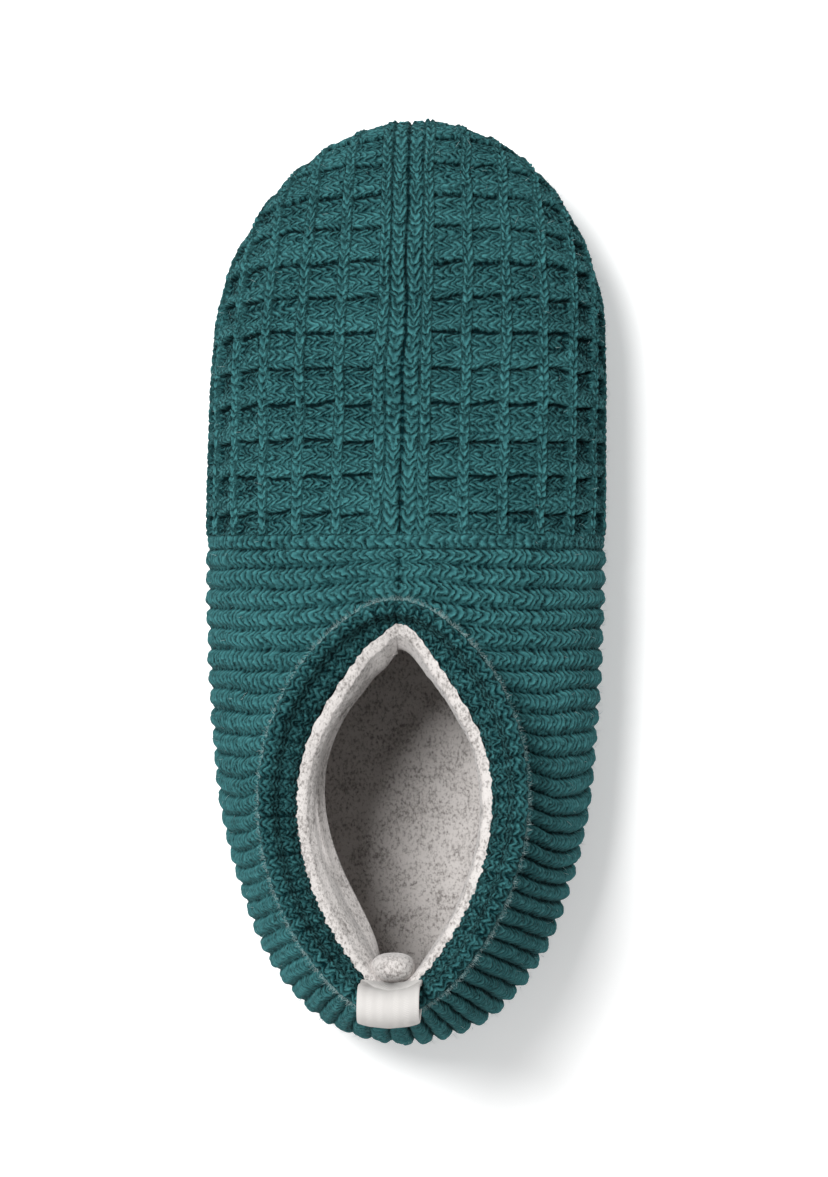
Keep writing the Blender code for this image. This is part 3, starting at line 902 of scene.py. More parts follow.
def loose_wool(name, colour):
    """Single wool fibres, paler than the yarn: painted light, for the light that passes through them."""
    material, tree, shader = new_material(name)
    place = add_node(tree, "TexCoord").outputs["Object"]
    pale_light_patches = add_node(tree, "TexNoise", {"Scale": 300.0}, {"Vector": place})
    shade = add_node(tree, "MapRange", {1: 0.3, 2: 0.7, 3: 0.2, 4: 0.6}, {0: pale_light_patches.outputs["Fac"]})
    # Painted light: the fibres are mixed towards this pale tone, more in some patches than in others.
    pale = (0.62, 0.72, 0.71, 1)
    tone = add_node(tree, "Mix", {6: (*colour, 1), 7: pale}, {0: shade.outputs[0]}, data_type="RGBA")
    tree.links.new(tone.outputs[2], shader.inputs["Base Color"])
    shader.inputs["Roughness"].default_value = 0.9
    shader.inputs["Specular IOR Level"].default_value = 0.2
    return material


def cotton_tape(name, colour):
    """Herringbone cotton tape, bleached off-white: fine slanted threads that turn at the middle of each
    rib, a thread every 0.5 mm, which is as coarse as it needs to show."""
    material, tree, shader = new_material(name)
    place = add_node(tree, "UVMap", uv_map="tape").outputs["UV"]
    parts = add_node(tree, "SeparateXYZ", links={"Vector": place})
    zigzag = add_node(tree, "Math", {1: 0.0014}, {0: parts.outputs["X"]}, operation="PINGPONG")
    slant = add_node(tree, "Math", links={0: zigzag.outputs[0], 1: parts.outputs["Y"]}, operation="ADD")
    turns = add_node(tree, "Math", {1: 2 * math.pi / 0.0005}, {0: slant.outputs[0]}, operation="MULTIPLY")
    threads = add_node(tree, "Math", links={0: turns.outputs[0]}, operation="SINE")
    shade = add_node(tree, "MapRange", {1: -1.0, 2: 1.0, 3: 0.86, 4: 1.0}, {0: threads.outputs[0]})
    tone = add_node(
        tree,
        "Mix",
        {0: 1.0, 6: (*colour, 1)},
        {7: shade.outputs[0]},
        data_type="RGBA",
        blend_type="MULTIPLY",
    )
    bumps = add_node(tree, "Bump", {"Strength": 0.5, "Distance": 0.0001}, {"Height": threads.outputs[0]})
    tree.links.new(tone.outputs[2], shader.inputs["Base Color"])
    tree.links.new(bumps.outputs["Normal"], shader.inputs["Normal"])
    shader.inputs["Roughness"].default_value = 0.8
    shader.inputs["Specular IOR Level"].default_value = 0.25
    return material


def teal_yarn(low, high):
    """The slipper's yarn, shared by pieces whose relief runs over the same range."""
    colours = bpy.context.scene.slipper_colours
    name = f"teal_wool_yarn_{abs(round(low * 1e5))}_{round(high * 1e5)}"
    found = bpy.data.materials.get(name)
    return found or wool_yarn(name, tuple(colours.yarn_light), tuple(colours.yarn_dark), low, high)


def marl_jersey():
    """The slipper's lining cloth."""
    colours = bpy.context.scene.slipper_colours
    name = "brushed_grey_marl_jersey"
    found = bpy.data.materials.get(name)
    return found or brushed_jersey(name, tuple(colours.lining_light), tuple(colours.lining_dark))


# Pieces

# Points of the grids: columns round the shoe, rows up it
FORE_COLUMNS = 450
FORE_ROWS = 190
REAR_COLUMNS = 345
REAR_ROWS = 166
COLLAR_ROWS = 44
LINING_FORE_COLUMNS = 90
LINING_REAR_COLUMNS = 80
LINING_ROWS = 70
FACING_COLUMNS = 609
BAND_COLUMNS = 1001
SOLE_COLUMNS = 441

# Collar and lining: how the rim swells, the facing leans in and the hem lies, and the tab behind the loop
RIM_SWELL = 0.001
FACING_LEAN = 0.0022
LINING_HEM_DROP = 0.019
LINING_TAB_HALVES = (0.0060, 0.0040, 0.0080)
LINING_TAB_PLACE = (0.0, -0.1045, 0.1040)

# Loose fibres
FIBRES_ON_RIM = 2200
FIBRES_ON_FOOT = 800
FIBRE_RADIUS = 0.00006

# Grip dots: half length, half width, and how far the cover under them lies below the solid's surface
DOT_HALF_LENGTH = 0.00118
DOT_HALF_WIDTH = 0.00082
DOT_SINK = 0.0005

# Depth and width of the tuck at a seam between pieces, and at the sole's gentler seam
SEAM_TUCK = (0.0009, 0.0008)
SOLE_TUCK = (0.0006, 0.0008)

# The lowest and highest relief over which the yarn's painted shade runs from dark to light. The facing's
# range is set so that its colour is painted darker, as shade on the collar's inside.
RIBBED_RANGE = (-0.0012, -0.0002)
FACING_RANGE = (-0.0008, 0.0006)
PLAIN_RANGE = (-0.0009, 0.0002)

# The soft light at the upper left, and the points that the light and the camera look at
KEY_PLACE = (-0.37, 0.38, 1.58)
KEY_DIAMETER = 0.5
KEY_TARGET = (0, 0, 0.03)
CAMERA_TARGET = (0.003, -0.002, 0.045)


def facing_drift(points, below):
    """How far the collar's inside leans in at a distance below the rim: not at the pull loop, and more
    at the throat, where the knit is gathered into a knot a little to the outer side."""
    x, y = points[..., 0], points[..., 1]
    clear = 1 - hump(x, 0.011) * (y < -0.08) - 1.2 * hump(x, 0.007) * (y > -0.03)
    gathered = 0.0032 * hump(np.abs(x) - 0.016, 0.011) * step(-0.065, -0.030, y)
    knot = 0.0020 * hump(x + 0.004, 0.004) * (y > -0.05)
    roll = -0.0007 * hump(below - 0.0045, 0.0014)
    return (FACING_LEAN * clear + gathered + knot) * step(0.001, 0.010, below) + roll


def pull_forward(points):
    """Leans the front of the collar towards the toe, where the knit rolls over the instep: the shift is
    a bell of the distance from the middle line and grows with the height over the throat."""
    x, y, z = points[..., 0], points[..., 1], points[..., 2]
    shift = 0.0038 * hump(x, 0.017) * step(-0.040, -0.018, y) * step(0.084, 0.096, z)
    return points + shift[..., None] * np.array([0.0, 1.0, 0.0])


def edge_tuck(run, depth, width):
    """Turns a knit edge in where it meets its neighbour: a bell of the run from that edge."""
    return -depth * hump(run, width)


class SLIPPER_OT_vamp(bpy.types.Operator):
    """Knit the vamp and instep: waffle to the throat line, then the first upright ribs"""

    bl_idname = "slipper.vamp"
    bl_label = "Vamp"

    def execute(self, context):
        sizes = context.scene.knit_sizes
        for name, side in (("vamp_inner", 1), ("vamp_outer", -1)):
            u = side_stations(side, 0, THROAT_STATION, FORE_COLUMNS)
            h = even_heights(u, 2.0, 4.0, FORE_ROWS)
            points = skin(u[:, None], h)
            across, along, run = vamp_map(u, h, points, sizes)
            ribs_along = 0.0026 * hump(across, 0.018) * step(0, -0.006, along) - along
            ribs = ridge_knit(ribs_along, run, sizes, 1 - 0.6 * hump(across, 0.009))
            knit = np.where(along > 0, waffle_knit(across, along, sizes), ribs)
            seam = -0.0008 * hump(across, 0.0009) * step(0, -0.002, along)
            knit[:2] += seam + edge_tuck(run, *SEAM_TUCK)
            points = points + knit[0][..., None] * outward(u[:, None], h)
            piece = grid_mesh(name, [(points, False, False, knit)])
            dress(piece, teal_yarn(*RIBBED_RANGE), "upper_knit", "knit_upper")
        return {"FINISHED"}


class SLIPPER_OT_quarters(bpy.types.Operator):
    """Knit the quarters and the collar's outside in upright ribs, with the lining's hem sewn through"""

    bl_idname = "slipper.quarters"
    bl_label = "Quarters and collar"

    def execute(self, context):
        sizes = context.scene.knit_sizes
        for name, side in (("quarter_inner", 1), ("quarter_outer", -1)):
            u = side_stations(side, THROAT_STATION, 1, REAR_COLUMNS)
            foot, collar = even_heights(u, 2.0, 4.0, REAR_ROWS), even_heights(u, 4.0, 5.0, COLLAR_ROWS)
            h = np.concatenate([foot, collar[:, 1:]], 1)
            points = skin(u[:, None], h)
            ribs_along, run = quarter_map(u, h, points, sizes)
            bunched = 0.7 * step(0.60, 0.72, np.abs(u))[:, None] * (side > 0)
            knit = ridge_knit(ribs_along, run, sizes, (1 + bunched) * (1 - 0.8 * step(4.2, 4.9, h)))
            below_rim = run[:, -1:] - run
            behind = step(THROAT_STATION, 1, np.abs(u))[:, None]
            hem = edge_tuck(below_rim - LINING_HEM_DROP - 0.003 * behind, 0.0006, 0.0005)
            knit[:2] += edge_tuck(run, *SEAM_TUCK) + hem
            lift = knit[0] + RIM_SWELL * step(4.45, 5.0, h)
            points = pull_forward(points + lift[..., None] * outward(u[:, None], h))
            piece = grid_mesh(name, [(points, False, False, knit)])
            dress(piece, teal_yarn(*RIBBED_RANGE), "upper_knit", "knit_upper")
        return {"FINISHED"}


class SLIPPER_OT_collar_facing(bpy.types.Operator):
    """Roll the knit over the collar's rim and down inside, as far as the lining's edge"""

    bl_idname = "slipper.collar_facing"
    bl_label = "Collar facing"

    def execute(self, context):
        # Half a circle over the rim, then the skin moved in by the knit's thickness and the facing's drift
        sizes = context.scene.knit_sizes
        u = even_stations(THROAT_STATION, 2 - THROAT_STATION, FACING_COLUMNS, 5.0)[:-1]
        height = np.linalg.norm(skin(u, 5.0) - skin(u, 4.0), axis=-1)
        ledge = 5 - (LINING_EDGE_DROP + 0.002) / height
        h = np.linspace(5, ledge, 26).T.reshape(len(u), -1)[:, 1:]
        rim, normal = skin(u, 5.0), outward(u, 5.0)
        up = unit(skin(u, 5.0) - skin(u, 4.9))
        turn = np.linspace(0, np.pi, 11)[None, :, None]
        aim = np.cos(turn) * normal[:, None] + np.sin(turn) * up[:, None]
        half_roll = (KNIT_THICKNESS + RIM_SWELL) / 2
        middle = (rim - normal * (KNIT_THICKNESS - half_roll))[:, None]
        over = middle + half_roll * aim
        inner_aim = -outward(u[:, None], h)
        inner = skin(u[:, None], h)
        depth = KNIT_THICKNESS + facing_drift(inner, (5 - h) * height[:, None])
        inner = inner + depth[..., None] * inner_aim
        points, aim = np.concatenate([over, inner], 1), np.concatenate([aim, inner_aim], 1)
        run = run_along(points, 1)
        round_run = run_along(skin(u, 5.0), 0)[:, None] + 0 * run
        ribs = ridge_knit(round_run, run, sizes, 0.3)
        strand, phase, bed, luck = v_stitches(round_run, run, 0.0037, 0.0021, 1.0, 0.7)
        relief = ribs[1] + sizes.stitch_relief * (strand - 0.5)
        knit = np.stack([relief, ribs[1], phase, bed, luck])
        points = pull_forward(points + knit[0][..., None] * aim)
        piece = grid_mesh("collar_facing", [(points, True, False, knit)])
        dress(piece, teal_yarn(*FACING_RANGE), "upper_knit", "knit_upper")
        return {"FINISHED"}


class SLIPPER_OT_fuzz(bpy.types.Operator):
    """Raise loose wool fibres along the collar's rim and over the knit"""

    bl_idname = "slipper.fuzz"
    bl_label = "Fuzz"

    def execute(self, context):
        # Each fibre is a thin three-sided tube along a line that leaves the knit and bends to a random side
        luck = np.random.default_rng(5)
        around = even_stations(THROAT_STATION, 2 - THROAT_STATION, 4001, 5.0)
        shares = np.linspace(0, 1, 4001)
        rim = np.interp(luck.uniform(0, 1, FIBRES_ON_RIM), shares, around)
        round_foot = np.interp(luck.uniform(0, 1, FIBRES_ON_FOOT), shares, even_stations(-1, 1, 4001, 3.0))
        u = np.concatenate([rim, round_foot])
        h = np.concatenate([luck.uniform(4.90, 5.0, FIBRES_ON_RIM), luck.uniform(2.1, 3.5, FIBRES_ON_FOOT)])
        normal = outward(u, h)
        root = pull_forward(skin(u, h) + (0.0003 + RIM_SWELL * step(4.45, 5.0, h))[:, None] * normal)
        side = unit(np.cross(normal, luck.normal(0, 1, normal.shape)))
        reach = luck.uniform(0.0008, 0.0024, len(u))[:, None]
        share = np.linspace(0, 1, 4)[None, :, None]
        bend = luck.uniform(0.3, 1.0, len(u))[:, None, None]
        direction = normal[:, None] * (1 - 0.5 * bend * share) + side[:, None] * bend
        line = root[:, None] + reach[:, None] * share * direction
        across = unit(np.cross(normal, side))[:, None]
        angle = np.linspace(0, 2 * np.pi, 3, endpoint=False)[None, :, None, None]
        thick = FIBRE_RADIUS * (1 - 0.7 * share)[:, None]
        round_line = np.cos(angle) * across[:, None] + np.sin(angle) * normal[:, None, None]
        tube = line[:, None] + thick * round_line
        piece = many_mesh("wool_fuzz", tube)
        colours = context.scene.slipper_colours
        dress(piece, loose_wool("loose_teal_wool", tuple(colours.yarn_light)), "upper_knit")
        return {"FINISHED"}


class SLIPPER_OT_side_band(bpy.types.Operator):
    """Knit the plain band round the foot between the sole and the upper"""

    bl_idname = "slipper.side_band"
    bl_label = "Side band"

    def execute(self, context):
        sizes = context.scene.knit_sizes
        u = even_stations(-1, 1, BAND_COLUMNS, 2.0)[:-1]
        h = even_heights(u, 1.0, 2.0, 34)
        points = skin(u[:, None], h)
        run = run_along(points, 1)
        round_run = run_along(skin(u, 2.0), 0)[:, None] + 0 * run
        strand, phase, bed, luck = v_stitches(run, round_run, sizes.band_column, 0.0029, 1.0, 0.4)
        tucked = edge_tuck(run[:, -1:] - run, *SEAM_TUCK) + edge_tuck(run, *SOLE_TUCK)
        relief = tucked + sizes.stitch_relief * (strand - 0.5)
        points = points + relief[..., None] * outward(u[:, None], h)
        knit = np.stack([relief, tucked, phase, bed, luck])
        piece = grid_mesh("side_band", [(points, True, False, knit)])
        dress(piece, teal_yarn(*PLAIN_RANGE), "band_knit", "knit_side_band")
        return {"FINISHED"}


class SLIPPER_OT_sole(bpy.types.Operator):
    """Knit the cupped sole"""

    bl_idname = "slipper.sole"
    bl_label = "Sole"

    def execute(self, context):
        sizes = context.scene.knit_sizes
        u = even_stations(-1, 1, SOLE_COLUMNS, 1.0)[:-1]
        h = np.concatenate([even_heights(u, -1.0, 0.0, 34), even_heights(u, 0.0, 1.0, 12)[:, 1:]], 1)
        points = skin(u[:, None], h)
        columns, courses = 2 * sizes.dot_spacing, sizes.dot_pitch / 2
        strand, phase, bed, luck = v_stitches(points[..., 0], points[..., 1], columns, courses, 1.2)
        run = run_along(points, 1)
        tucked = edge_tuck(run[:, -1:] - run, *SOLE_TUCK)
        relief = tucked - DOT_SINK + 0.0002 * (strand - 1) * step(0, 0.004, run)
        points = points + relief[..., None] * outward(u[:, None], h)
        knit = np.stack([relief, tucked, phase, bed, luck])
        points[..., 2] = np.maximum(points[..., 2], 0.0001)
        piece = grid_mesh("sole_cover", [(points, True, False, knit)], weld=True)
        dress(piece, teal_yarn(*PLAIN_RANGE), "sole_knit", "grip_sole")
        return {"FINISHED"}


class SLIPPER_OT_grip_dots(bpy.types.Operator):
    """Print the grip dots under the sole and up its lip"""

    bl_idname = "slipper.grip_dots"
    bl_label = "Grip dots"

    def execute(self, context):
        sizes = context.scene.knit_sizes
        # Staggered rows on the flat and three round the lip. A dot is rings that narrow as they rise.
        centres, normals = [], []
        columns = np.arange(-26, 27)
        rows = np.arange(-24, 25)
        i, j = (part.ravel() for part in np.meshgrid(columns, rows, indexing="ij"))
        y = (j + 0.5 * (i % 2)) * sizes.dot_pitch
        x = i * sizes.dot_spacing
        share = np.clip((y + LENGTH / 2 - HEEL_ROUNDING) / (LENGTH - HEEL_ROUNDING - TOE_ROUNDING), 0, 1)
        flat_half = half_width(share) * (1 - SIDE_ROUNDING / (BALL_WIDTH / 2)) - 0.0008
        keep = (np.abs(x - swing(y)) < flat_half) & (y > -LENGTH / 2 + 0.025) & (y < LENGTH / 2 - 0.029)
        x, y = x[keep], y[keep]
        centres.append(np.stack([x, y, keel(y) + DOT_SINK], -1))
        normals.append(np.tile([0.0, 0.0, -1.0], (len(x), 1)))
        for row, h in enumerate((0.12, 0.42, 0.72)):
            fine = np.linspace(-1, 1, 4001)
            run = run_along(skin(fine, h), 0)
            count = round(run[-1] / sizes.dot_pitch)
            u = np.interp((np.arange(count) + 0.5 * (row % 2)) * run[-1] / count, run, fine)
            spot = skin(u, h)
            keep = (spot[:, 1] > -LENGTH / 2 + 0.020) & (spot[:, 1] < LENGTH / 2 - 0.026)
            normal = outward(u, h + 0 * u)
            centres.append((spot - DOT_SINK * normal)[keep])
            normals.append(normal[keep])
        centres, normals = np.concatenate(centres), np.concatenate(normals)
        along = np.tile([0.0, 1.0, 0.0], (len(centres), 1))
        along = unit(along - (along * normals).sum(-1, keepdims=True) * normals)
        side = np.cross(along, normals)
        angle = np.linspace(0, 2 * np.pi, 8, endpoint=False)
        rings = []
        for reach, rise in ((1.0, -0.0003), (0.86, 0.00024), (0.5, 0.0004), (0.02, 0.00044)):
            ring = np.cos(angle)[None, :, None] * along[:, None] * DOT_HALF_LENGTH * reach
            ring = ring + np.sin(angle)[None, :, None] * side[:, None] * DOT_HALF_WIDTH * reach
            rings.append(centres[:, None] + ring + rise * normals[:, None])
        piece = many_mesh("grip_dots", np.stack(rings, 2))
        colour = tuple(context.scene.slipper_colours.dots)
        dress(piece, rubber_dots("aubergine_grip_rubber", colour), "sole_knit")
        return {"FINISHED"}


class SLIPPER_OT_lining(bpy.types.Operator):
    """Line the upper and the collar with brushed jersey, up to its overlocked edge"""

    bl_idname = "slipper.lining"
    bl_label = "Lining"

    def execute(self, context):
        grids = []
        for side in (1, -1):
            fore = side_stations(side, 0, THROAT_STATION, LINING_FORE_COLUMNS)
            rear = side_stations(side, THROAT_STATION, 1, LINING_REAR_COLUMNS)
            for u, behind in ((fore, False), (rear, True)):
                h = even_heights(u, 0.02, 4.0, LINING_ROWS)
                if behind:
                    height = np.linalg.norm(skin(u, 5.0) - skin(u, 4.0), axis=-1)
                    ahead = 0.0055 * hump(np.abs(u) - THROAT_STATION, 0.07)
                    top = 5 - (LINING_EDGE_DROP - ahead) / height
                    h = np.concatenate([h, even_heights(u, 4.0 + 0 * top, top, 20)[:, 1:]], 1)
                aim = -outward(u[:, None], h)
                points = skin(u[:, None], h) + (WALL + 0.0002) * aim
                points = pull_forward(points + self.puff(u, h, points, behind)[..., None] * aim)
                grids.append((points, False, True, None))
        piece = grid_mesh("lining_sock", grids, weld=True)
        dress(piece, marl_jersey(), "lining", "knit_upper")

        # The pinched end of the lining at the back: an ellipsoid, squarer by the power of its coordinates
        turns = np.linspace(0, 2 * np.pi, 40, endpoint=False)
        around, up = np.meshgrid(turns, np.linspace(0, np.pi, 22), indexing="ij")
        bulge = np.stack([np.sin(up) * np.cos(around), np.sin(up) * np.sin(around), -np.cos(up)], -1)
        bulge = np.sign(bulge) * np.abs(bulge) ** 0.85 * np.array(LINING_TAB_HALVES)
        tab = bulge + np.array(LINING_TAB_PLACE)
        tab[..., 0] += 0.0004 * wander(tab[..., 2], tab[..., 1], 0.004)
        piece = grid_mesh("lining_tab", [(tab, True, False, None)], weld=True)
        dress(piece, marl_jersey(), "lining")
        return {"FINISHED"}

    def puff(self, u, h, points, behind):
        """How far the loose lining stands off the wall: with the facing at its edge, then a slack fold
        along each side under the collar, sharper on the outer side, and a rolled, scalloped edge where
        it is overlocked to the knit."""
        station = np.abs((u + 1) % 2 - 1)[:, None] + 0 * h
        lengthwise = step(0.50, 0.66, station) * step(0.99, 0.80, station)
        outer = (u < 0)[:, None] | (u > 1)[:, None]
        run = run_along(points, 1)
        if not behind:
            return 0.0008 + 0 * run
        down = run[:, -1:] - run
        lean = facing_drift(points, 0 * down + 0.012) * step(0.030, 0.004, down)
        depth = 0.0070 + 0.0045 * step(0.60, 0.85, station)
        fold = np.where(outer, depth * step(0.0, 0.020, down) * step(0.036, 0.024, down), 0)
        slack = np.where(outer, 0, 0.014 * step(0.004, 0.045, down) * step(0.095, 0.055, down))
        creases = 0.0012 * wander(run_along(points, 0), down, 0.018) * step(0.004, 0.02, down)
        edge = 0.0010 * step(0.0, 0.0014, down) - 0.0016 * step(0.0012, 0.0, down)
        loops = 0.00035 * np.sin(2 * np.pi * run_along(points, 0) / 0.0028) * step(0.0035, 0.0012, down)
        return lean + edge + loops + creases + (fold + slack) * lengthwise


class SLIPPER_OT_insole(bpy.types.Operator):
    """Lay the padded insole"""

    bl_idname = "slipper.insole"
    bl_label = "Insole"

    def execute(self, context):
        # Nearly level on top out to the edge, half a circle down its side, and level underneath
        u = even_stations(-1, 1, 241, 0.0)[:-1]
        share = np.linspace(0, 1, 24)
        turn = np.linspace(0, np.pi, 9)[1:]
        edge = -0.03
        middle = SOLE_THICKNESS + CLEARANCE + INSOLE_THICKNESS / 2
        top = np.stack([-1 + (edge + 1) * share, middle + INSOLE_THICKNESS / 2 * (1 - 0.12 * share**4)], -1)
        width = np.linalg.norm(skin(u, edge) - skin(u, -1.0), axis=-1)
        round_h = edge + INSOLE_THICKNESS / 2 * np.sin(turn)[None, :] / width[:, None] * 0.9
        round_depth = middle + 0.88 * INSOLE_THICKNESS / 2 * np.cos(turn)[None, :] + 0 * round_h
        under = np.linspace(edge, -1, 8)[1:]
        h = np.concatenate([top[None, :, 0] + 0 * u[:, None], round_h, under[None, :] + 0 * u[:, None]], 1)
        under_depth = 0 * u[:, None] + round_depth[:, -1:] + 0 * under[None, :]
        depth = np.concatenate([top[None, :, 1] + 0 * u[:, None], round_depth, under_depth], 1)
        points = skin(u[:, None], np.minimum(h, 0)) + depth[..., None] * np.array([0, 0, 1.0])
        piece = grid_mesh("insole_pad", [(points, True, True, None)], weld=True)
        dress(piece, marl_jersey(), "lining", "insole")
        return {"FINISHED"}


def beside_collar(across, h, depth):
    """Points at a depth beside the back of the collar, found at given distances from the middle line."""
    around = np.linspace(0.72, 1.28, 161)
    wall = skin(around, h + 0 * around) - depth * outward(around, h + 0 * around)
    order = np.argsort(wall[:, 0])
    y = np.interp(across, wall[order, 0], wall[order, 1])
    z = np.interp(across, wall[order, 0], wall[order, 2])
    return np.stack([across, y, z], -1)


class SLIPPER_OT_pull_loop(bpy.types.Operator):
    """Sew the tape loop to the back of the collar"""

    bl_idname = "slipper.pull_loop"
    bl_label = "Pull loop"

    def execute(self, context):
        # Up one face of the collar, over in a half sine that bulges to both sides, and down the other face.
        # The tape's section is a flat superellipse, laid off along the middle surface's normal.
        across = np.linspace(-0.5, 0.5, 25) * TAPE_WIDTH
        stand_off = CLEARANCE + TAPE_THICKNESS / 2
        height = np.linalg.norm(skin(1.0, 5.0) - skin(1.0, 4.0))
        leg = np.linspace(5 - TAPE_SEWN_LENGTH / height, 5, 10)
        outside = [beside_collar(across, h, -stand_off - 0.0006) for h in leg]
        inside = [beside_collar(across, h, KNIT_THICKNESS + stand_off + 0.0004) for h in leg]
        start, end = outside[-1], inside[-1]
        centre = len(across) // 2
        bulge = (LOOP_DEPTH - TAPE_THICKNESS - abs(end[centre, 1] - start[centre, 1])) / 2
        share = np.linspace(0, 1, 61)[1:-1][:, None]
        loop = start[None] + (end - start)[None] * share[..., None]
        middle_y = loop[:, centre : centre + 1, 1].copy()
        bow = (loop[..., 1] - middle_y) * (1 - 0.7 * np.sin(np.pi * share))
        loop[..., 1] = middle_y + bow - bulge * np.sin(2 * np.pi * share)
        loop[..., 2] += (LOOP_HEIGHT - 0.0005) * np.sin(np.pi * share)
        middle = np.concatenate([np.array(outside), loop, np.array(inside[::-1])])
        normal = unit(np.cross(np.gradient(middle, axis=0), np.gradient(middle, axis=1)))
        turn = np.linspace(0, 2 * np.pi, 60, endpoint=False)
        flat = np.sign(np.cos(turn)) * np.abs(np.cos(turn)) ** 0.25
        place = (flat + 1) / 2 * (len(across) - 1)
        low = np.clip(np.floor(place).astype(int), 0, len(across) - 2)
        part = (place - low)[None, :, None]
        line = middle[:, low] * (1 - part) + middle[:, low + 1] * part
        lift = normal[:, low] * (1 - part) + normal[:, low + 1] * part
        thick = TAPE_THICKNESS / 2 * np.sign(np.sin(turn)) * np.abs(np.sin(turn)) ** 0.5
        points = line + lift * thick[None, :, None]
        points = points.transpose(1, 0, 2)
        ends = [np.repeat(points[:, at].mean(0)[None, None], len(turn), 0) for at in (0, -1)]
        points = np.concatenate([ends[0], points, ends[1]], 1)
        piece = grid_mesh("pull_loop_tape", [(points, True, False, None)])
        mesh = piece.data
        run = run_along(points, 1)
        uv = np.stack([flat[:, None] * TAPE_WIDTH / 2 + 0 * run, run], -1).reshape(-1, 2)
        corner = np.empty(len(mesh.loops), np.int32)
        mesh.loops.foreach_get("vertex_index", corner)
        mesh.uv_layers.new(name="tape").data.foreach_set("uv", uv[corner].astype(np.float32).ravel())
        model = bmesh.new()
        model.from_mesh(mesh)
        bmesh.ops.remove_doubles(model, verts=model.verts, dist=1e-6)
        bmesh.ops.recalc_face_normals(model, faces=model.faces)
        model.to_mesh(mesh)
        model.free()
        colour = tuple(context.scene.slipper_colours.tape)
        dress(piece, cotton_tape("white_cotton_tape", colour), "tape", "pull_loop")
        return {"FINISHED"}


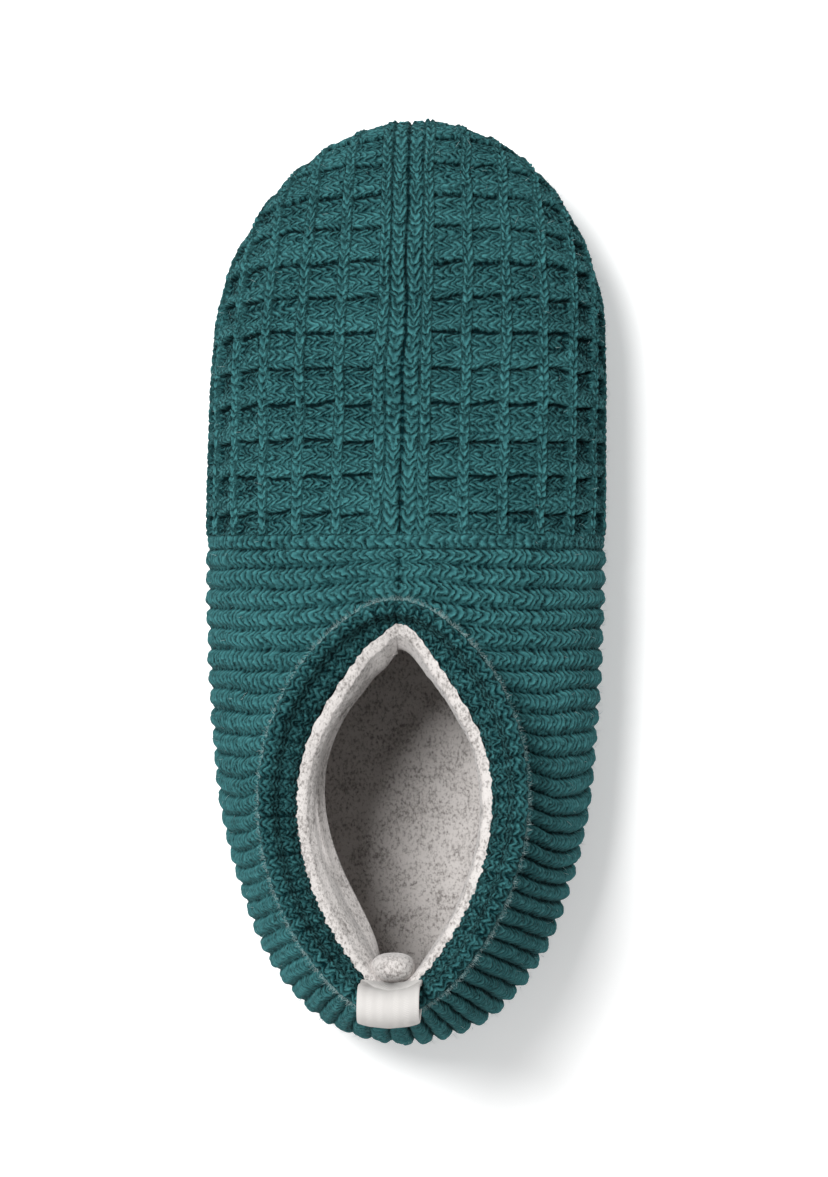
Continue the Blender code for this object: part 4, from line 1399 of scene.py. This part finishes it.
class SLIPPER_OT_studio(bpy.types.Operator):
    """Set up the white light table, the soft light and the camera over the slipper"""

    bl_idname = "slipper.studio"
    bl_label = "Studio"

    def execute(self, context):
        studio = context.scene.studio_settings
        reach = 3.0
        floor_mesh = bpy.data.meshes.new("floor")
        corners = [(-reach, -reach, 0), (reach, -reach, 0), (reach, reach, 0), (-reach, reach, 0)]
        floor_mesh.from_pydata(corners, [], [(0, 1, 2, 3)])
        floor = bpy.data.objects.new("floor", floor_mesh)
        context.scene.collection.objects.link(floor)
        material, tree, shader = new_material("opal_acrylic_light_table")
        place = add_node(tree, "TexCoord").outputs["Object"]
        grain = add_node(tree, "TexNoise", {"Scale": 900.0}, {"Vector": place})
        relief = {"Strength": 0.05, "Distance": 0.0001}
        bumps = add_node(tree, "Bump", relief, {"Height": grain.outputs["Fac"]})
        tree.links.new(bumps.outputs["Normal"], shader.inputs["Normal"])
        shader.inputs["Base Color"].default_value = (*studio.floor, 1)
        shader.inputs["Roughness"].default_value = 0.9
        shader.inputs["Emission Color"].default_value = (1, 1, 1, 1)
        shader.inputs["Emission Strength"].default_value = studio.table_glow
        floor_mesh.materials.append(material)

        key = bpy.data.lights.new("key", "AREA")
        key.energy = studio.key_power
        key.shape = "DISK"
        key.size = KEY_DIAMETER
        self.aim("key", key, Vector(KEY_PLACE), Vector(KEY_TARGET))

        world = bpy.data.worlds.new("soft_white_studio")
        world.use_nodes = True
        background = world.node_tree.nodes["Background"]
        background.inputs["Color"].default_value = (1, 1, 1, 1)
        background.inputs["Strength"].default_value = studio.fill
        context.scene.world = world
        context.scene.view_settings.view_transform = "Standard"

        camera = bpy.data.cameras.new("camera")
        camera.lens = studio.lens
        camera.clip_end = 20
        place = Vector((studio.camera_side, 0, studio.camera_height))
        holder = self.aim("camera", camera, place, Vector(CAMERA_TARGET))
        context.scene.camera = holder
        return {"FINISHED"}

    def aim(self, name, data, place, target):
        """Puts a light or the camera at a place and turns it to a target, with +Y upwards in its view."""
        back = (place - target).normalized()
        side = Vector((0, 1, 0)).cross(back).normalized()
        turn = Matrix((side, back.cross(side), back)).transposed()
        holder = bpy.data.objects.new(name, data)
        holder.matrix_world = Matrix.Translation(place) @ turn.to_4x4()
        bpy.context.scene.collection.objects.link(holder)
        return holder


class SLIPPER_PT_panel(bpy.types.Panel):
    """Lists the slipper's sizes, colours and pieces"""

    bl_idname = "SLIPPER_PT_panel"
    bl_label = "Knitted slipper"
    bl_space_type = "VIEW_3D"
    bl_region_type = "UI"
    bl_category = "Slipper"

    def draw(self, context):
        for holder in GROUPS:
            group = getattr(context.scene, holder)
            box = self.layout.box()
            for name in group.bl_rna.properties.keys():
                if name not in ("rna_type", "name"):
                    box.prop(group, name)
        for operator in OPERATORS:
            self.layout.operator(operator.bl_idname)


GROUPS = {"knit_sizes": KnitSizes, "slipper_colours": SlipperColours, "studio_settings": StudioSettings}
OPERATORS = (
    SLIPPER_OT_vamp,
    SLIPPER_OT_quarters,
    SLIPPER_OT_collar_facing,
    SLIPPER_OT_fuzz,
    SLIPPER_OT_side_band,
    SLIPPER_OT_sole,
    SLIPPER_OT_grip_dots,
    SLIPPER_OT_lining,
    SLIPPER_OT_insole,
    SLIPPER_OT_pull_loop,
    SLIPPER_OT_studio,
)


def register():
    for group in GROUPS.values():
        bpy.utils.register_class(group)
    for name, group in GROUPS.items():
        setattr(bpy.types.Scene, name, bpy.props.PointerProperty(type=group))
    for operator in OPERATORS:
        bpy.utils.register_class(operator)
    bpy.utils.register_class(SLIPPER_PT_panel)


def unregister():
    bpy.utils.unregister_class(SLIPPER_PT_panel)
    for operator in reversed(OPERATORS):
        bpy.utils.unregister_class(operator)
    for name in reversed(GROUPS):
        delattr(bpy.types.Scene, name)
        bpy.utils.unregister_class(GROUPS[name])


def main():
    register()
    bpy.ops.slipper.vamp()
    bpy.ops.slipper.quarters()
    bpy.ops.slipper.collar_facing()
    bpy.ops.slipper.fuzz()
    bpy.ops.slipper.side_band()
    bpy.ops.slipper.sole()
    bpy.ops.slipper.grip_dots()
    bpy.ops.slipper.lining()
    bpy.ops.slipper.insole()
    bpy.ops.slipper.pull_loop()
    bpy.ops.slipper.studio()


if __name__ == "__main__":
    main()
